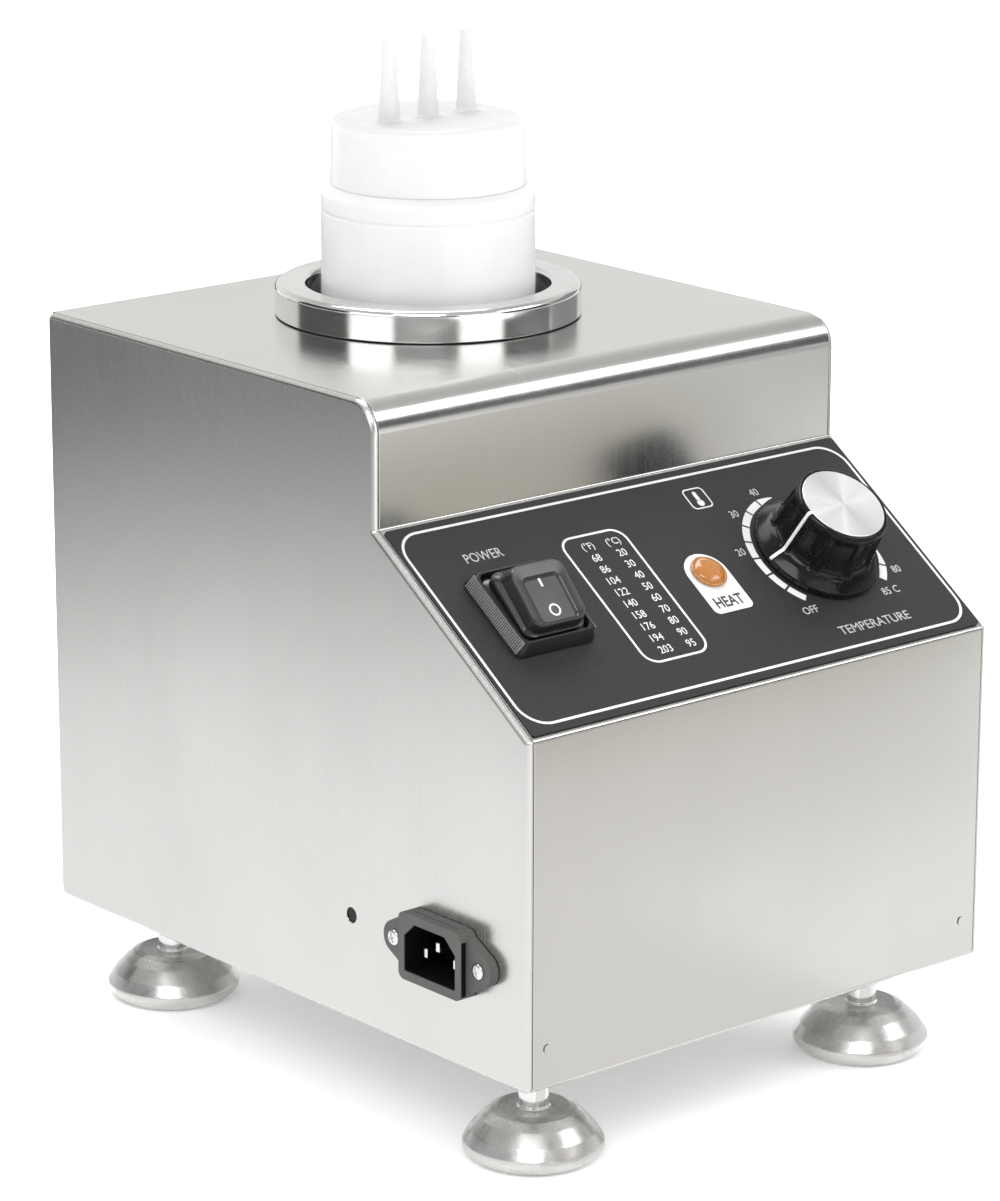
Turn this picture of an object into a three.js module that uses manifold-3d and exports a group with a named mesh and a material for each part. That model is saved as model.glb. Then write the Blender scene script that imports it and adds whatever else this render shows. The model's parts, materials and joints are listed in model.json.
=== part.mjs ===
// Countertop warmer for one squeeze bottle: a stainless box with a sloped control panel, a heated well
// and a three-nozzle bottle. Millimetres, +Z up. Pieces are modelled in the housing's own datum:
// x = 0 in mid width, y = 0 at the front face, z = 0 at the floor.
import * as THREE from "three";
import { mergeVertices } from "three/addons/utils/BufferGeometryUtils.js";
import Module from "manifold-3d";

// ---- Driving dimensions ----

const HOUSING_WIDTH = 194;
const HOUSING_DEPTH = 242;
const HOUSING_HEIGHT = 201;
const FOOT_CLEARANCE = 33.6; // floor to the housing's underside
const RISER_Y = 72.3; // front face to the riser behind the slope
const SLOPE_LOW = 111.4; // housing underside to the slope's lower edge
const SLOPE_HIGH = 161.5; // housing underside to the slope's upper edge
const SHEET = 1; // steel thickness
const TOP_BEND = 10; // outer radius where the top turns into the riser
const EDGE_BEND = 2; // outer radius round the side panels
const FLANGE = 12; // width of the side panels' inner flanges
const GAP = 0.3; // assembly clearance between touching pieces

const WELL_Y = 163.3; // front face to the well's axis
const WELL_R = 39.5; // inside of the cup
const WELL_DEPTH = 132; // housing top to the cup's floor
const CUP_WALL = 0.9;
const CUP_FLANGE_R = 48.4;
const COLLAR_R = 50.3;
const COLLAR_HEIGHT = 10.7; // collar's top above the housing's top
const COLLAR_BOTTOM = 1.5;
const COLLAR_STUD_CIRCLE = 44.6;
const COLLAR_STUD_R = 2;

const BOTTLE_R = 35;
const BOTTLE_WALL = 1.2;
const SHOULDER_Z = 39.8; // heights above the housing's top
const NECK_Z = 43.2;
const NECK_TOP = 58.2;
const NECK_R = 28.5;
const CAP_TOP = 65;
const CAP_WALL = 1.8;
const CAP_LOW_R = 32;
const CAP_HIGH_R = 30.7;
const NOZZLE_TIP = 90.6;
const NOZZLE_SPACING = 15.8;
const NOZZLE_BASE_R = 3.5;
const NOZZLE_TIP_R = 1.9;

const SWITCH = { x: -65.5, s: 45.3, width: 31, length: 32, top: 6.2 };
const SWITCH_BODY = { width: 24.6, length: 26.6, depth: 26 };
const ROCKER_TILT = THREE.MathUtils.degToRad(13);
const ROCKER_PIVOT = 1; // pivot height above the slope
const LAMP = { x: 8.1, s: 44.5, lensR: 6.15, stemR: 4.7 };
const KNOB = { x: 53.9, s: 43.6, skirtR: 21.4, bodyR: 17.6, topR: 15.4, low: 1.2, high: 22.5 };
const KNOB_DISC_R = 14.2;
const SHAFT_R = 3;
const THERMOSTAT_SCREW_SPACING = 28;

const INLET = { y: 38.5, z: 35.8, screwSpacing: 40, proud: 6.4 };
const PANEL_HOLE = { y: 84.3, z: 35.1, r: 2.5 };

const FOOT = { side: 25.9, front: 27, rear: 28.3, bellR: 22.2, bellHeight: 19 };
const STUD_R = 5;
const BOSS_R = 6.45;

const ROUND = 36; // sides of a large circle
const MEDIUM = 18; // sides of a stud, stem or bush
const SMALL = 12; // sides of a screw or hole

// ---- Values that follow ----

const HALF = HOUSING_WIDTH / 2;
const TOP_Z = FOOT_CLEARANCE + HOUSING_HEIGHT;
const SLOPE_ANGLE = Math.atan2(SLOPE_HIGH - SLOPE_LOW, RISER_Y);
const SLOPE_LENGTH = Math.hypot(SLOPE_HIGH - SLOPE_LOW, RISER_Y);
const CUP_R = WELL_R + CUP_WALL;
const CUP_FLOOR = TOP_Z - WELL_DEPTH;
const RIVET_HEAD = 0.8;
const BACK_SCREW_HEAD = 2.2;
// The part's origin is the middle of its footprint, sockets and screw heads included.
const CENTRE_X = INLET.proud / 2;
const CENTRE_Y = -(HOUSING_DEPTH + GAP + BACK_SCREW_HEAD - GAP - RIVET_HEAD) / 2;

const wasm = await Module();
wasm.setup();

// ---- Finishes ----

function finish(color, roughness, metalness) {
  return new THREE.MeshStandardMaterial({ color, roughness, metalness });
}

const brushedSteel = finish(0xc9c8c4, 0.35, 1);
const plainSteel = finish(0xb5b5b2, 0.5, 1);
const polishedSteel = finish(0xdcdcda, 0.12, 1);
const chrome = finish(0xd8d8d8, 0.15, 1);
const zinc = finish(0xa9a9a4, 0.45, 1);
const aluminium = finish(0xd5d5d3, 0.3, 1);
const copper = finish(0xb87333, 0.35, 1);
const brass = finish(0xc2a14d, 0.35, 1);
const overlayFilm = finish(0x45464a, 0.5, 0);
const blackPlastic = finish(0x17171a, 0.35, 0);
const softBlack = finish(0x2a2b2d, 0.6, 0);
const orangeLens = finish(0xd0762a, 0.25, 0);
const whitePlastic = finish(0xe8e8e2, 0.5, 0);
const clearSilicone = finish(0xf2f4f4, 0.35, 0);
const mica = finish(0x9c8f78, 0.7, 0);
const ceramicWool = finish(0xe6e3d8, 0.95, 0);
const blackRubber = finish(0x1c1c1c, 0.85, 0);
const brownWire = finish(0x6b3d22, 0.5, 0);
const blueWire = finish(0x2c4f8f, 0.5, 0);
const earthWire = finish(0x7da032, 0.5, 0);

// ---- Solid modelling ----

function solid(geometry) {
  const bare = geometry.index ? geometry.toNonIndexed() : geometry.clone();
  bare.deleteAttribute("normal");
  bare.deleteAttribute("uv");
  const merged = mergeVertices(bare, 1e-4);
  const corners = [];
  const index = merged.index.array;
  for (let i = 0; i < index.length; i += 3) {
    const [a, b, c] = [index[i], index[i + 1], index[i + 2]];
    if (a !== b && b !== c && c !== a) corners.push(a, b, c);
  }
  return new wasm.Manifold(
    new wasm.Mesh({
      numProp: 3,
      vertProperties: merged.attributes.position.array,
      triVerts: new Uint32Array(corners),
    }),
  );
}

function geometryOf(made) {
  const mesh = made.getMesh();
  const geometry = new THREE.BufferGeometry();
  geometry.setAttribute("position", new THREE.BufferAttribute(mesh.vertProperties, 3));
  geometry.setIndex(new THREE.BufferAttribute(mesh.triVerts, 1));
  const faceted = geometry.toNonIndexed();
  faceted.computeVertexNormals();
  return faceted;
}

function join(...geometries) {
  return geometryOf(geometries.map(solid).reduce((sum, next) => sum.add(next)));
}

function cut(geometry, ...tools) {
  return geometryOf(tools.map(solid).reduce((left, tool) => left.subtract(tool), solid(geometry)));
}

function box([x0, x1], [y0, y1], [z0, z1]) {
  const geometry = new THREE.BoxGeometry(x1 - x0, y1 - y0, z1 - z0);
  return geometry.translate((x0 + x1) / 2, (y0 + y1) / 2, (z0 + z1) / 2);
}

function rod(r, z0, z1, x = 0, y = 0, sides = SMALL, topR = r) {
  const geometry = new THREE.CylinderGeometry(topR, r, z1 - z0, sides);
  return geometry.rotateX(Math.PI / 2).translate(x, y, (z0 + z1) / 2);
}

// A turned solid about Z. The profile's points are [radius, height], anticlockwise.
function turned(profile, sides = ROUND) {
  const points = profile.map(([r, z]) => new THREE.Vector2(r, z));
  return new THREE.LatheGeometry(points, sides).rotateX(Math.PI / 2);
}

function ring(inner, outer, z0, z1, sides = ROUND) {
  return turned([[inner, z0], [outer, z0], [outer, z1], [inner, z1], [inner, z0]], sides);
}

function arc(centreR, centreZ, r, from, to, steps) {
  return Array.from({ length: steps + 1 }, (_, i) => {
    const angle = THREE.MathUtils.degToRad(from + ((to - from) * i) / steps);
    return [centreR + r * Math.cos(angle), centreZ + r * Math.sin(angle)];
  });
}

function roundedRectangle(width, height, r, x = 0, y = 0) {
  const [left, right, low, high] = [x - width / 2, x + width / 2, y - height / 2, y + height / 2];
  const shape = new THREE.Shape();
  shape.moveTo(left + r, low);
  shape.lineTo(right - r, low);
  shape.absarc(right - r, low + r, r, -Math.PI / 2, 0, false);
  shape.lineTo(right, high - r);
  shape.absarc(right - r, high - r, r, 0, Math.PI / 2, false);
  shape.lineTo(left + r, high);
  shape.absarc(left + r, high - r, r, Math.PI / 2, Math.PI, false);
  shape.lineTo(left, low + r);
  shape.absarc(left + r, low + r, r, Math.PI, 1.5 * Math.PI, false);
  return shape;
}

function extruded(shape, z0, z1, options = {}) {
  const settings = { depth: z1 - z0, bevelEnabled: false, curveSegments: 3, ...options };
  return new THREE.ExtrudeGeometry(shape, settings).translate(0, 0, z0);
}

// The outline of a rounded rectangle, with four points to each corner's arc.
function roundedOutline(width, length, r) {
  return [[1, -1], [1, 1], [-1, 1], [-1, -1]].flatMap(([sideX, sideY], corner) => {
    const [x, y] = [sideX * (width / 2 - r), sideY * (length / 2 - r)];
    return arc(x, y, r, 90 * corner - 90, 90 * corner, 3);
  });
}

// A skin through stacked rounded rectangles, closed at both ends.
function lofted(sections) {
  const rings = sections.map(({ width, length, r, height, tilt = 0, pivot = 0 }) => {
    return roundedOutline(width, length, r).map(([x, y]) => {
      const point = new THREE.Vector3(x, y, height - pivot);
      return point.applyAxisAngle(new THREE.Vector3(1, 0, 0), tilt).add(new THREE.Vector3(0, 0, pivot));
    });
  });
  const count = rings[0].length;
  const middle = (points) => points.reduce((sum, p) => sum.add(p), new THREE.Vector3()).divideScalar(count);
  const triangles = [];
  rings.slice(1).forEach((upper, k) => {
    const lower = rings[k];
    upper.forEach((corner, i) => {
      const next = (i + 1) % count;
      triangles.push(lower[i], lower[next], upper[next], lower[i], upper[next], corner);
    });
  });
  const [first, last] = [rings[0], rings[rings.length - 1]];
  first.forEach((corner, i) => triangles.push(middle(first), first[(i + 1) % count], corner));
  last.forEach((corner, i) => triangles.push(middle(last), corner, last[(i + 1) % count]));
  return new THREE.BufferGeometry().setFromPoints(triangles);
}

function tube(points, r, steps, sides = 8) {
  const places = points.map((p) => new THREE.Vector3(...p));
  const path = new THREE.CatmullRomCurve3(places, false, "centripetal");
  const section = new THREE.Shape();
  for (let i = 0; i < sides; i += 1) {
    const angle = (2 * Math.PI * i) / sides;
    if (i === 0) section.moveTo(r, 0);
    else section.lineTo(r * Math.cos(angle), r * Math.sin(angle));
  }
  return new THREE.ExtrudeGeometry(section, { steps, bevelEnabled: false, extrudePath: path });
}

// ---- Assembly frames ----

const dispenser = new THREE.Group();
const machine = new THREE.Group();
machine.position.set(CENTRE_X, CENTRE_Y, 0);
dispenser.add(machine);

// On the control slope: x across, y up the slope, z out of the panel.
const controls = new THREE.Group();
controls.position.set(0, 0, FOOT_CLEARANCE + SLOPE_LOW);
controls.rotation.x = SLOPE_ANGLE;
controls.updateMatrix();
machine.add(controls);

// On the left side panel: x towards the front, y up, z out of the panel.
const inlet = new THREE.Group();
inlet.position.set(-HALF, INLET.y, FOOT_CLEARANCE + INLET.z);
inlet.quaternion.setFromRotationMatrix(
  new THREE.Matrix4().makeBasis(
    new THREE.Vector3(0, -1, 0),
    new THREE.Vector3(0, 0, 1),
    new THREE.Vector3(-1, 0, 0),
  ),
);
inlet.updateMatrix();
machine.add(inlet);

// On the well's axis, with z = 0 at the housing's top.
const well = new THREE.Group();
well.position.set(0, WELL_Y, TOP_Z);
well.updateMatrix();
machine.add(well);

function add(group, name, geometry, material) {
  const mesh = new THREE.Mesh(geometry, material);
  mesh.name = name;
  group.add(mesh);
  return mesh;
}

// ---- Sheet-metal housing ----

function slopeHeight(y, inset) {
  return FOOT_CLEARANCE + SLOPE_LOW + y * Math.tan(SLOPE_ANGLE) - inset / Math.cos(SLOPE_ANGLE);
}

// The housing's side outline, drawn with x rearwards and y up, moved inwards by inset.
function housingOutline(inset) {
  const [low, high] = [FOOT_CLEARANCE + inset, TOP_Z - inset];
  const [front, riser, rear] = [inset, RISER_Y + inset, HOUSING_DEPTH - inset];
  const bend = RISER_Y + TOP_BEND;
  const shape = new THREE.Shape();
  shape.moveTo(front, low);
  shape.lineTo(rear, low);
  shape.lineTo(rear, high);
  shape.lineTo(bend, high);
  shape.absarc(bend, TOP_Z - TOP_BEND, TOP_BEND - inset, Math.PI / 2, Math.PI, false);
  shape.lineTo(riser, slopeHeight(riser, inset));
  shape.lineTo(front, slopeHeight(front, inset));
  return shape;
}

const acrossHousing = new THREE.Matrix4().makeBasis(
  new THREE.Vector3(0, 1, 0),
  new THREE.Vector3(0, 0, 1),
  new THREE.Vector3(1, 0, 0),
);

function housingSlab(inset, x0, x1, options = {}) {
  return extruded(housingOutline(inset), x0, x1, options).applyMatrix4(acrossHousing);
}

function housingBand(outer, inner, x0, x1) {
  return cut(housingSlab(outer, x0, x1), housingSlab(inner, x0 - 1, x1 + 1));
}

const RIVET_Z = FOOT_CLEARANCE + 13.5;
const rivetPlaces = [-1, 1].map((side) => [side * (HALF - 8), RIVET_Z]);
const backScrewPlaces = [20, 178].flatMap((height) => {
  return [-1, 1].map((side) => [side * (HALF - 8), FOOT_CLEARANCE + height]);
});

function alongY(geometry, x, y, z) {
  return geometry.rotateX(-Math.PI / 2).translate(x, y, z);
}

// A panel with rounded edges, and a set-back flange all round that the covers lie on.
function sidePanel() {
  const face = -HALF + EDGE_BEND;
  const blank = housingSlab(0, face, face + 4, {
    bevelEnabled: true,
    bevelSize: EDGE_BEND,
    bevelThickness: EDGE_BEND,
    bevelOffset: -EDGE_BEND,
    bevelSegments: 4,
  });
  const inside = box([face, face + 10], [-1, HOUSING_DEPTH + 1], [FOOT_CLEARANCE - 1, TOP_Z + 1]);
  const pocket = housingSlab(SHEET, -HALF + SHEET, face + 1);
  const flange = housingBand(SHEET + GAP, 2 * SHEET + GAP, -HALF + SHEET - 0.2, -HALF + SHEET + FLANGE);
  const screwHoles = backScrewPlaces.map(([, z]) => alongY(rod(1.8, -6, 1), -HALF + 8, HOUSING_DEPTH, z));
  const rivetHole = alongY(rod(1.8, -1, 6), -HALF + 8, 0, RIVET_Z);
  return cut(join(cut(blank, inside, pocket), flange), ...screwHoles, rivetHole);
}

function leftPanelCuts() {
  const body = extruded(roundedRectangle(27.6, 20.2, 1), -3, 2).applyMatrix4(inlet.matrix);
  const screws = [-1, 1].map((side) => {
    return rod(1.9, -3, 2, (side * INLET.screwSpacing) / 2).applyMatrix4(inlet.matrix);
  });
  const small = rod(PANEL_HOLE.r, -3, 2, INLET.y - PANEL_HOLE.y, PANEL_HOLE.z - INLET.z);
  return [body, ...screws, small.applyMatrix4(inlet.matrix)];
}

const collarStudAngles = [90, 210, 330].map(THREE.MathUtils.degToRad);
const collarStudPlaces = collarStudAngles.map((angle) => {
  return [COLLAR_STUD_CIRCLE * Math.cos(angle), COLLAR_STUD_CIRCLE * Math.sin(angle)];
});
const thermostatScrewPlaces = [-1, 1].map((side) => {
  return [KNOB.x, KNOB.s + (side * THERMOSTAT_SCREW_SPACING) / 2];
});

function slopeCutters(clearance, screwR, z0, z1) {
  const { width, length } = SWITCH_BODY;
  const body = roundedRectangle(width + 2 * clearance, length + 2 * clearance, 1, SWITCH.x, SWITCH.s);
  return [
    extruded(body, z0, z1),
    rod(LAMP.stemR + clearance, z0, z1, LAMP.x, LAMP.s),
    rod(SHAFT_R + 1.6 + clearance, z0, z1, KNOB.x, KNOB.s),
    ...thermostatScrewPlaces.map(([x, s]) => rod(screwR, z0, z1, x, s)),
  ];
}

// Top, riser, slope and front, folded from one sheet, with a return flange under the front.
function topFrontCover() {
  const edge = HALF - EDGE_BEND - GAP;
  const band = housingBand(0, SHEET, -edge, edge);
  const open = (y, z) => box([-HALF, HALF], y, z);
  const noRear = open([HOUSING_DEPTH - 5, HOUSING_DEPTH + 1], [FOOT_CLEARANCE - 1, TOP_Z - SHEET]);
  const noFloor = open([FLANGE, HOUSING_DEPTH + 1], [FOOT_CLEARANCE - 1, FOOT_CLEARANCE + 5]);
  const wellHole = rod(CUP_R + 0.6, -5, 5, 0, 0, ROUND).applyMatrix4(well.matrix);
  const studHoles = collarStudPlaces.map(([x, y]) => {
    return rod(COLLAR_STUD_R + GAP, -5, 5, x, y).applyMatrix4(well.matrix);
  });
  const panelHoles = slopeCutters(GAP, 2.3, -5, 5).map((c) => c.applyMatrix4(controls.matrix));
  const rivetHoles = rivetPlaces.map(([x, z]) => alongY(rod(1.8, -2, 5), x, 0, z));
  return cut(band, noRear, noFloor, wellHole, ...studHoles, ...panelHoles, ...rivetHoles);
}

function backPanel() {
  const edge = HALF - EDGE_BEND - GAP;
  const top = TOP_Z - SHEET - GAP;
  const plate = box([-edge, edge], [HOUSING_DEPTH - SHEET, HOUSING_DEPTH], [FOOT_CLEARANCE, top]);
  const holes = backScrewPlaces.map(([x, z]) => alongY(rod(1.8, -5, 5), x, HOUSING_DEPTH, z));
  const slots = Array.from({ length: 6 }, (_, i) => {
    const slot = extruded(roundedRectangle(84, 4, 1.9), -5, 5);
    return alongY(slot, 0, HOUSING_DEPTH, FOOT_CLEARANCE + 46 + 10 * i);
  });
  return cut(plate, ...holes, ...slots);
}

const footPlaces = {
  front_left: [-HALF + FOOT.side, FOOT.front],
  front_right: [HALF - FOOT.side, FOOT.front],
  rear_left: [-HALF + FOOT.side, HOUSING_DEPTH - FOOT.rear],
  rear_right: [HALF - FOOT.side, HOUSING_DEPTH - FOOT.rear],
};

// The floor of the housing, with a welded threaded boss for each foot.
function basePlate() {
  const low = FOOT_CLEARANCE + 2 * SHEET + 2 * GAP;
  const high = low + 1.5;
  const edge = HALF - SHEET - 2 * GAP;
  const inset = 2 * SHEET + 2 * GAP;
  const plate = box([-edge, edge], [inset, HOUSING_DEPTH - inset], [low, high]);
  const places = Object.values(footPlaces);
  const bosses = places.map(([x, y]) => rod(BOSS_R, FOOT_CLEARANCE - 7, high + 6, x, y, MEDIUM));
  const bores = places.map(([x, y]) => rod(STUD_R + GAP, FOOT_CLEARANCE - 9, high + 8, x, y, MEDIUM));
  const vents = Array.from({ length: 7 }, (_, i) => {
    return extruded(roundedRectangle(4, 60, 1.9, -36 + 12 * i, 120), low - 1, high + 1);
  });
  return cut(join(plate, ...bosses), ...bores, ...vents);
}

// The cross recess of a screw head.
function crossSlot(length, width, z0, z1) {
  const [long, short] = [[-length / 2, length / 2], [-width / 2, width / 2]];
  return join(box(long, short, [z0, z1]), box(short, long, [z0, z1]));
}

add(machine, "top_front_cover", topFrontCover(), brushedSteel);
add(machine, "left_side_panel", cut(sidePanel(), ...leftPanelCuts()), brushedSteel);
add(machine, "right_side_panel", sidePanel(), brushedSteel).scale.x = -1;
add(machine, "back_panel", backPanel(), brushedSteel);
add(machine, "base_plate", basePlate(), plainSteel);

["left", "right"].forEach((side, i) => {
  const [x, z] = rivetPlaces[i];
  const rivet = join(rod(1.5, -4, 0.6), rod(2.3, GAP, RIVET_HEAD, 0, 0, SMALL, 1.6));
  const mesh = add(machine, `front_rivet_${side}`, rivet, brushedSteel);
  mesh.position.set(x, 0, z);
  mesh.rotation.x = Math.PI / 2;
});

backScrewPlaces.forEach(([x, z], i) => {
  const screw = join(rod(1.4, -6, 0.6), rod(3.2, GAP, BACK_SCREW_HEAD, 0, 0, SMALL, 2.4));
  const slot = crossSlot(3.6, 0.7, 1.4, 3);
  const mesh = add(machine, `back_screw_${i + 1}`, cut(screw, slot), zinc);
  mesh.position.set(x, HOUSING_DEPTH, z);
  mesh.rotation.x = -Math.PI / 2;
});

// ---- Heated well ----

function wellCollar() {
  const body = turned([
    [CUP_R - 0.4, COLLAR_BOTTOM],
    [COLLAR_R, COLLAR_BOTTOM],
    ...arc(COLLAR_R - 3, COLLAR_HEIGHT - 3, 3, 0, 90, 5),
    ...arc(CUP_R + 1.1, COLLAR_HEIGHT - 1.5, 1.5, 90, 180, 3),
    [CUP_R - 0.4, COLLAR_BOTTOM],
  ], 48);
  const studs = collarStudPlaces.map(([x, y]) => rod(COLLAR_STUD_R, -8, COLLAR_BOTTOM + 1, x, y));
  return join(body, ...studs);
}

function wellCup() {
  const floor = -WELL_DEPTH;
  const shell = turned([
    [0, floor - CUP_WALL],
    ...arc(CUP_R - 5, floor - CUP_WALL + 5, 5, -90, 0, 3),
    [CUP_R, GAP],
    [CUP_FLANGE_R, GAP],
    [CUP_FLANGE_R, GAP + CUP_WALL],
    [WELL_R, GAP + CUP_WALL],
    ...arc(WELL_R - 4.1, floor + 4.1, 4.1, 0, -90, 3),
    [0, floor],
  ]);
  const holes = collarStudPlaces.map(([x, y]) => rod(COLLAR_STUD_R + GAP, -1, 3, x, y));
  return cut(shell, ...holes);
}

function clampRing() {
  const [low, high] = [-SHEET - GAP - 2.5, -SHEET - GAP];
  const nuts = collarStudPlaces.map(([x, y]) => rod(4, low - 3.2, low + 1, x, y, 6));
  const holes = collarStudPlaces.map(([x, y]) => rod(COLLAR_STUD_R + GAP, low - 5, high + 1, x, y));
  return cut(join(ring(CUP_R + 0.5, CUP_FLANGE_R + 1, low, high), ...nuts), ...holes);
}

const BAND = { inner: CUP_R + GAP, outer: CUP_R + 3.3, low: -112, high: -38 };

// A mica band heater, split at the front, with two lugs, a clamping bolt and two terminal posts.
function heaterBand() {
  const { inner, outer, low, high } = BAND;
  const split = box([-3, 3], [-outer - 1, -inner + 1], [low - 1, high + 1]);
  const lugs = [-1, 1].map((side) => {
    const [near, far] = [3 * side, 5 * side].sort((a, b) => a - b);
    return box([near, far], [-outer - 10, -outer + 1.2], [low + 24, high - 24]);
  });
  const middle = (low + high) / 2;
  const bolt = rod(2, -8, 8).rotateY(Math.PI / 2).translate(0, -outer - 5.5, middle);
  const posts = [-1, 1].map((side) => {
    return rod(1.6, 0, 6).rotateX(Math.PI / 2).translate(side * 12, -outer + 3, low + 12);
  });
  return join(cut(ring(inner, outer, low, high), split), ...lugs, bolt, ...posts);
}

const BULB = { r: 3, circle: BAND.outer + 3.6, low: -106, high: -46 };
BULB.angle = THREE.MathUtils.degToRad(-40);
const bulbPlace = [BULB.circle * Math.cos(BULB.angle), BULB.circle * Math.sin(BULB.angle)];

function insulationJacket() {
  const wool = ring(BAND.outer + GAP, BAND.outer + 11, BAND.low - 6, BAND.high + 10);
  const opening = box([-17, 17], [-60, -34], [BAND.low - 8, BAND.high + 12]);
  const channel = rod(BULB.r + 0.5, BAND.low - 8, BULB.high + 4, ...bulbPlace);
  return cut(wool, opening, channel);
}

add(well, "well_collar", wellCollar(), polishedSteel);
const gasket = ring(CUP_FLANGE_R + GAP, COLLAR_R - 0.4, GAP, COLLAR_BOTTOM - GAP, 48);
add(well, "well_gasket", gasket, blackRubber);
add(well, "well_cup", wellCup(), plainSteel);
add(well, "well_clamp_ring", clampRing(), plainSteel);
add(well, "heater_band", heaterBand(), mica);
add(well, "insulation_jacket", insulationJacket(), ceramicWool);

// ---- Squeeze bottle ----

function bottleBody() {
  const base = -WELL_DEPTH + GAP;
  const [inner, innerNeck] = [BOTTLE_R - BOTTLE_WALL, NECK_R - BOTTLE_WALL];
  return turned([
    [0, base + 2],
    [BOTTLE_R - 8, base + 2],
    [BOTTLE_R - 6, base],
    ...arc(BOTTLE_R - 4, base + 4, 4, -90, 0, 3),
    [BOTTLE_R, SHOULDER_Z],
    [BOTTLE_R - 1.8, NECK_Z],
    [NECK_R, NECK_Z],
    [NECK_R, NECK_TOP],
    [innerNeck, NECK_TOP],
    [innerNeck, NECK_Z - BOTTLE_WALL],
    [inner - 1.2, NECK_Z - BOTTLE_WALL],
    [inner, SHOULDER_Z - 0.4],
    ...arc(inner - 2.8, base + 5, 2.8, 0, -90, 2),
    [0, base + 2 + BOTTLE_WALL],
  ]);
}

function bottleCap() {
  const [low, roof, boreR] = [NECK_Z + GAP, NECK_TOP + 1.8, NECK_R + 0.7];
  const innerNeck = NECK_R - 5;
  const shell = turned([
    [boreR, low],
    [CAP_LOW_R, low],
    [CAP_LOW_R, low + 10],
    [CAP_HIGH_R, low + 11.5],
    ...arc(CAP_HIGH_R - 2.6, CAP_TOP - 2.6, 2.6, 0, 90, 3),
    [0, CAP_TOP],
    [0, CAP_TOP - CAP_WALL],
    [innerNeck, CAP_TOP - CAP_WALL],
    [innerNeck, roof],
    [boreR, roof],
    [boreR, low],
  ]);
  const places = [-1, 0, 1].map((i) => i * NOZZLE_SPACING);
  const nozzles = places.map((x) => {
    return rod(NOZZLE_BASE_R, CAP_TOP - 1, NOZZLE_TIP, x, 0, SMALL, NOZZLE_TIP_R);
  });
  const bores = places.map((x) => {
    return rod(NOZZLE_BASE_R - 1.2, CAP_TOP - 3, NOZZLE_TIP + 1, x, 0, SMALL, 0.9);
  });
  return cut(join(shell, ...nozzles), ...bores);
}

add(well, "bottle_body", bottleBody(), clearSilicone);
add(well, "cap_liner", ring(NECK_R - 4, NECK_R, NECK_TOP + GAP, NECK_TOP + 1.5), whitePlastic);
add(well, "bottle_cap", bottleCap(), clearSilicone);

// ---- Control slope ----

function controlOverlay() {
  const [low, high] = [1.6, SLOPE_LENGTH - 1.6];
  const width = 2 * (HALF - EDGE_BEND - 0.4);
  const film = roundedRectangle(width, high - low, 1.5, 0, (low + high) / 2);
  return cut(extruded(film, GAP, GAP + 0.4), ...slopeCutters(GAP, 3.9, -1, 2));
}

// A snap-in switch: bezel on the panel, hollow for the rocker, and a contact block behind.
function switchBody() {
  const { width, length, top } = SWITCH;
  const floor = 1 + 1.2;
  const bezel = lofted([
    { width, length, r: 2, height: 1 },
    { width: width - 0.6, length: length - 0.6, r: 2, height: 3 },
    { width: width - 2.4, length: length - 2.4, r: 2.4, height: top },
  ]);
  const block = extruded(roundedRectangle(SWITCH_BODY.width, SWITCH_BODY.length, 1), -SWITCH_BODY.depth, 2);
  const seat = extruded(roundedRectangle(width - 4.2, length - 4.2, 3), floor, top + 1);
  const pocket = extruded(roundedRectangle(17, 22.5, 1), -8, top + 1);
  return cut(join(bezel, block), seat, pocket).translate(SWITCH.x, SWITCH.s, 0);
}

function switchRocker() {
  const lever = join(
    extruded(roundedRectangle(15, 13, 1), -6, 1),
    extruded(roundedRectangle(15, 17, 2), 0, 9.4),
  );
  const pins = rod(1.2, -8, 8).rotateY(Math.PI / 2);
  return join(lever, pins).rotateX(ROCKER_TILT).translate(SWITCH.x, SWITCH.s, ROCKER_PIVOT);
}

// The sealing boot over the rocker, with a bellows fold round its side.
function switchBoot() {
  const skin = (inset) => [
    { width: 26.2, length: 27.2, r: 3, height: 2.6, tilt: 0 },
    { width: 25.4, length: 26.4, r: 3, height: 4.2, tilt: 0.1 },
    { width: 22.4, length: 23.4, r: 3, height: 6, tilt: 0.3 },
    { width: 23.4, length: 24, r: 3, height: 7.4, tilt: 0.5 },
    { width: 21.2, length: 21.8, r: 3.4, height: 9, tilt: 0.75 },
    { width: 20.6, length: 21, r: 3.4, height: 13.4, tilt: 1 },
  ].map(({ width, length, r, height, tilt }, i) => ({
    width: width - 2 * inset,
    length: length - 2 * inset,
    r: r - 0.6 * inset,
    height: height - (i === 5 ? inset : 0) - (i === 0 ? inset : 0),
    tilt: tilt * ROCKER_TILT,
    pivot: ROCKER_PIVOT,
  }));
  return cut(lofted(skin(0)), lofted(skin(1.2))).translate(SWITCH.x, SWITCH.s, 0);
}

function pilotLens() {
  const { lensR, stemR } = LAMP;
  return turned([
    [0, -2],
    [stemR, -2],
    [stemR, 1],
    [lensR, 1],
    [lensR, 1.9],
    [lensR - 0.7, 2.4],
    [lensR * 0.55, 3.2],
    [0, 3.5],
  ], 32).translate(LAMP.x, LAMP.s, 0);
}

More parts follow.
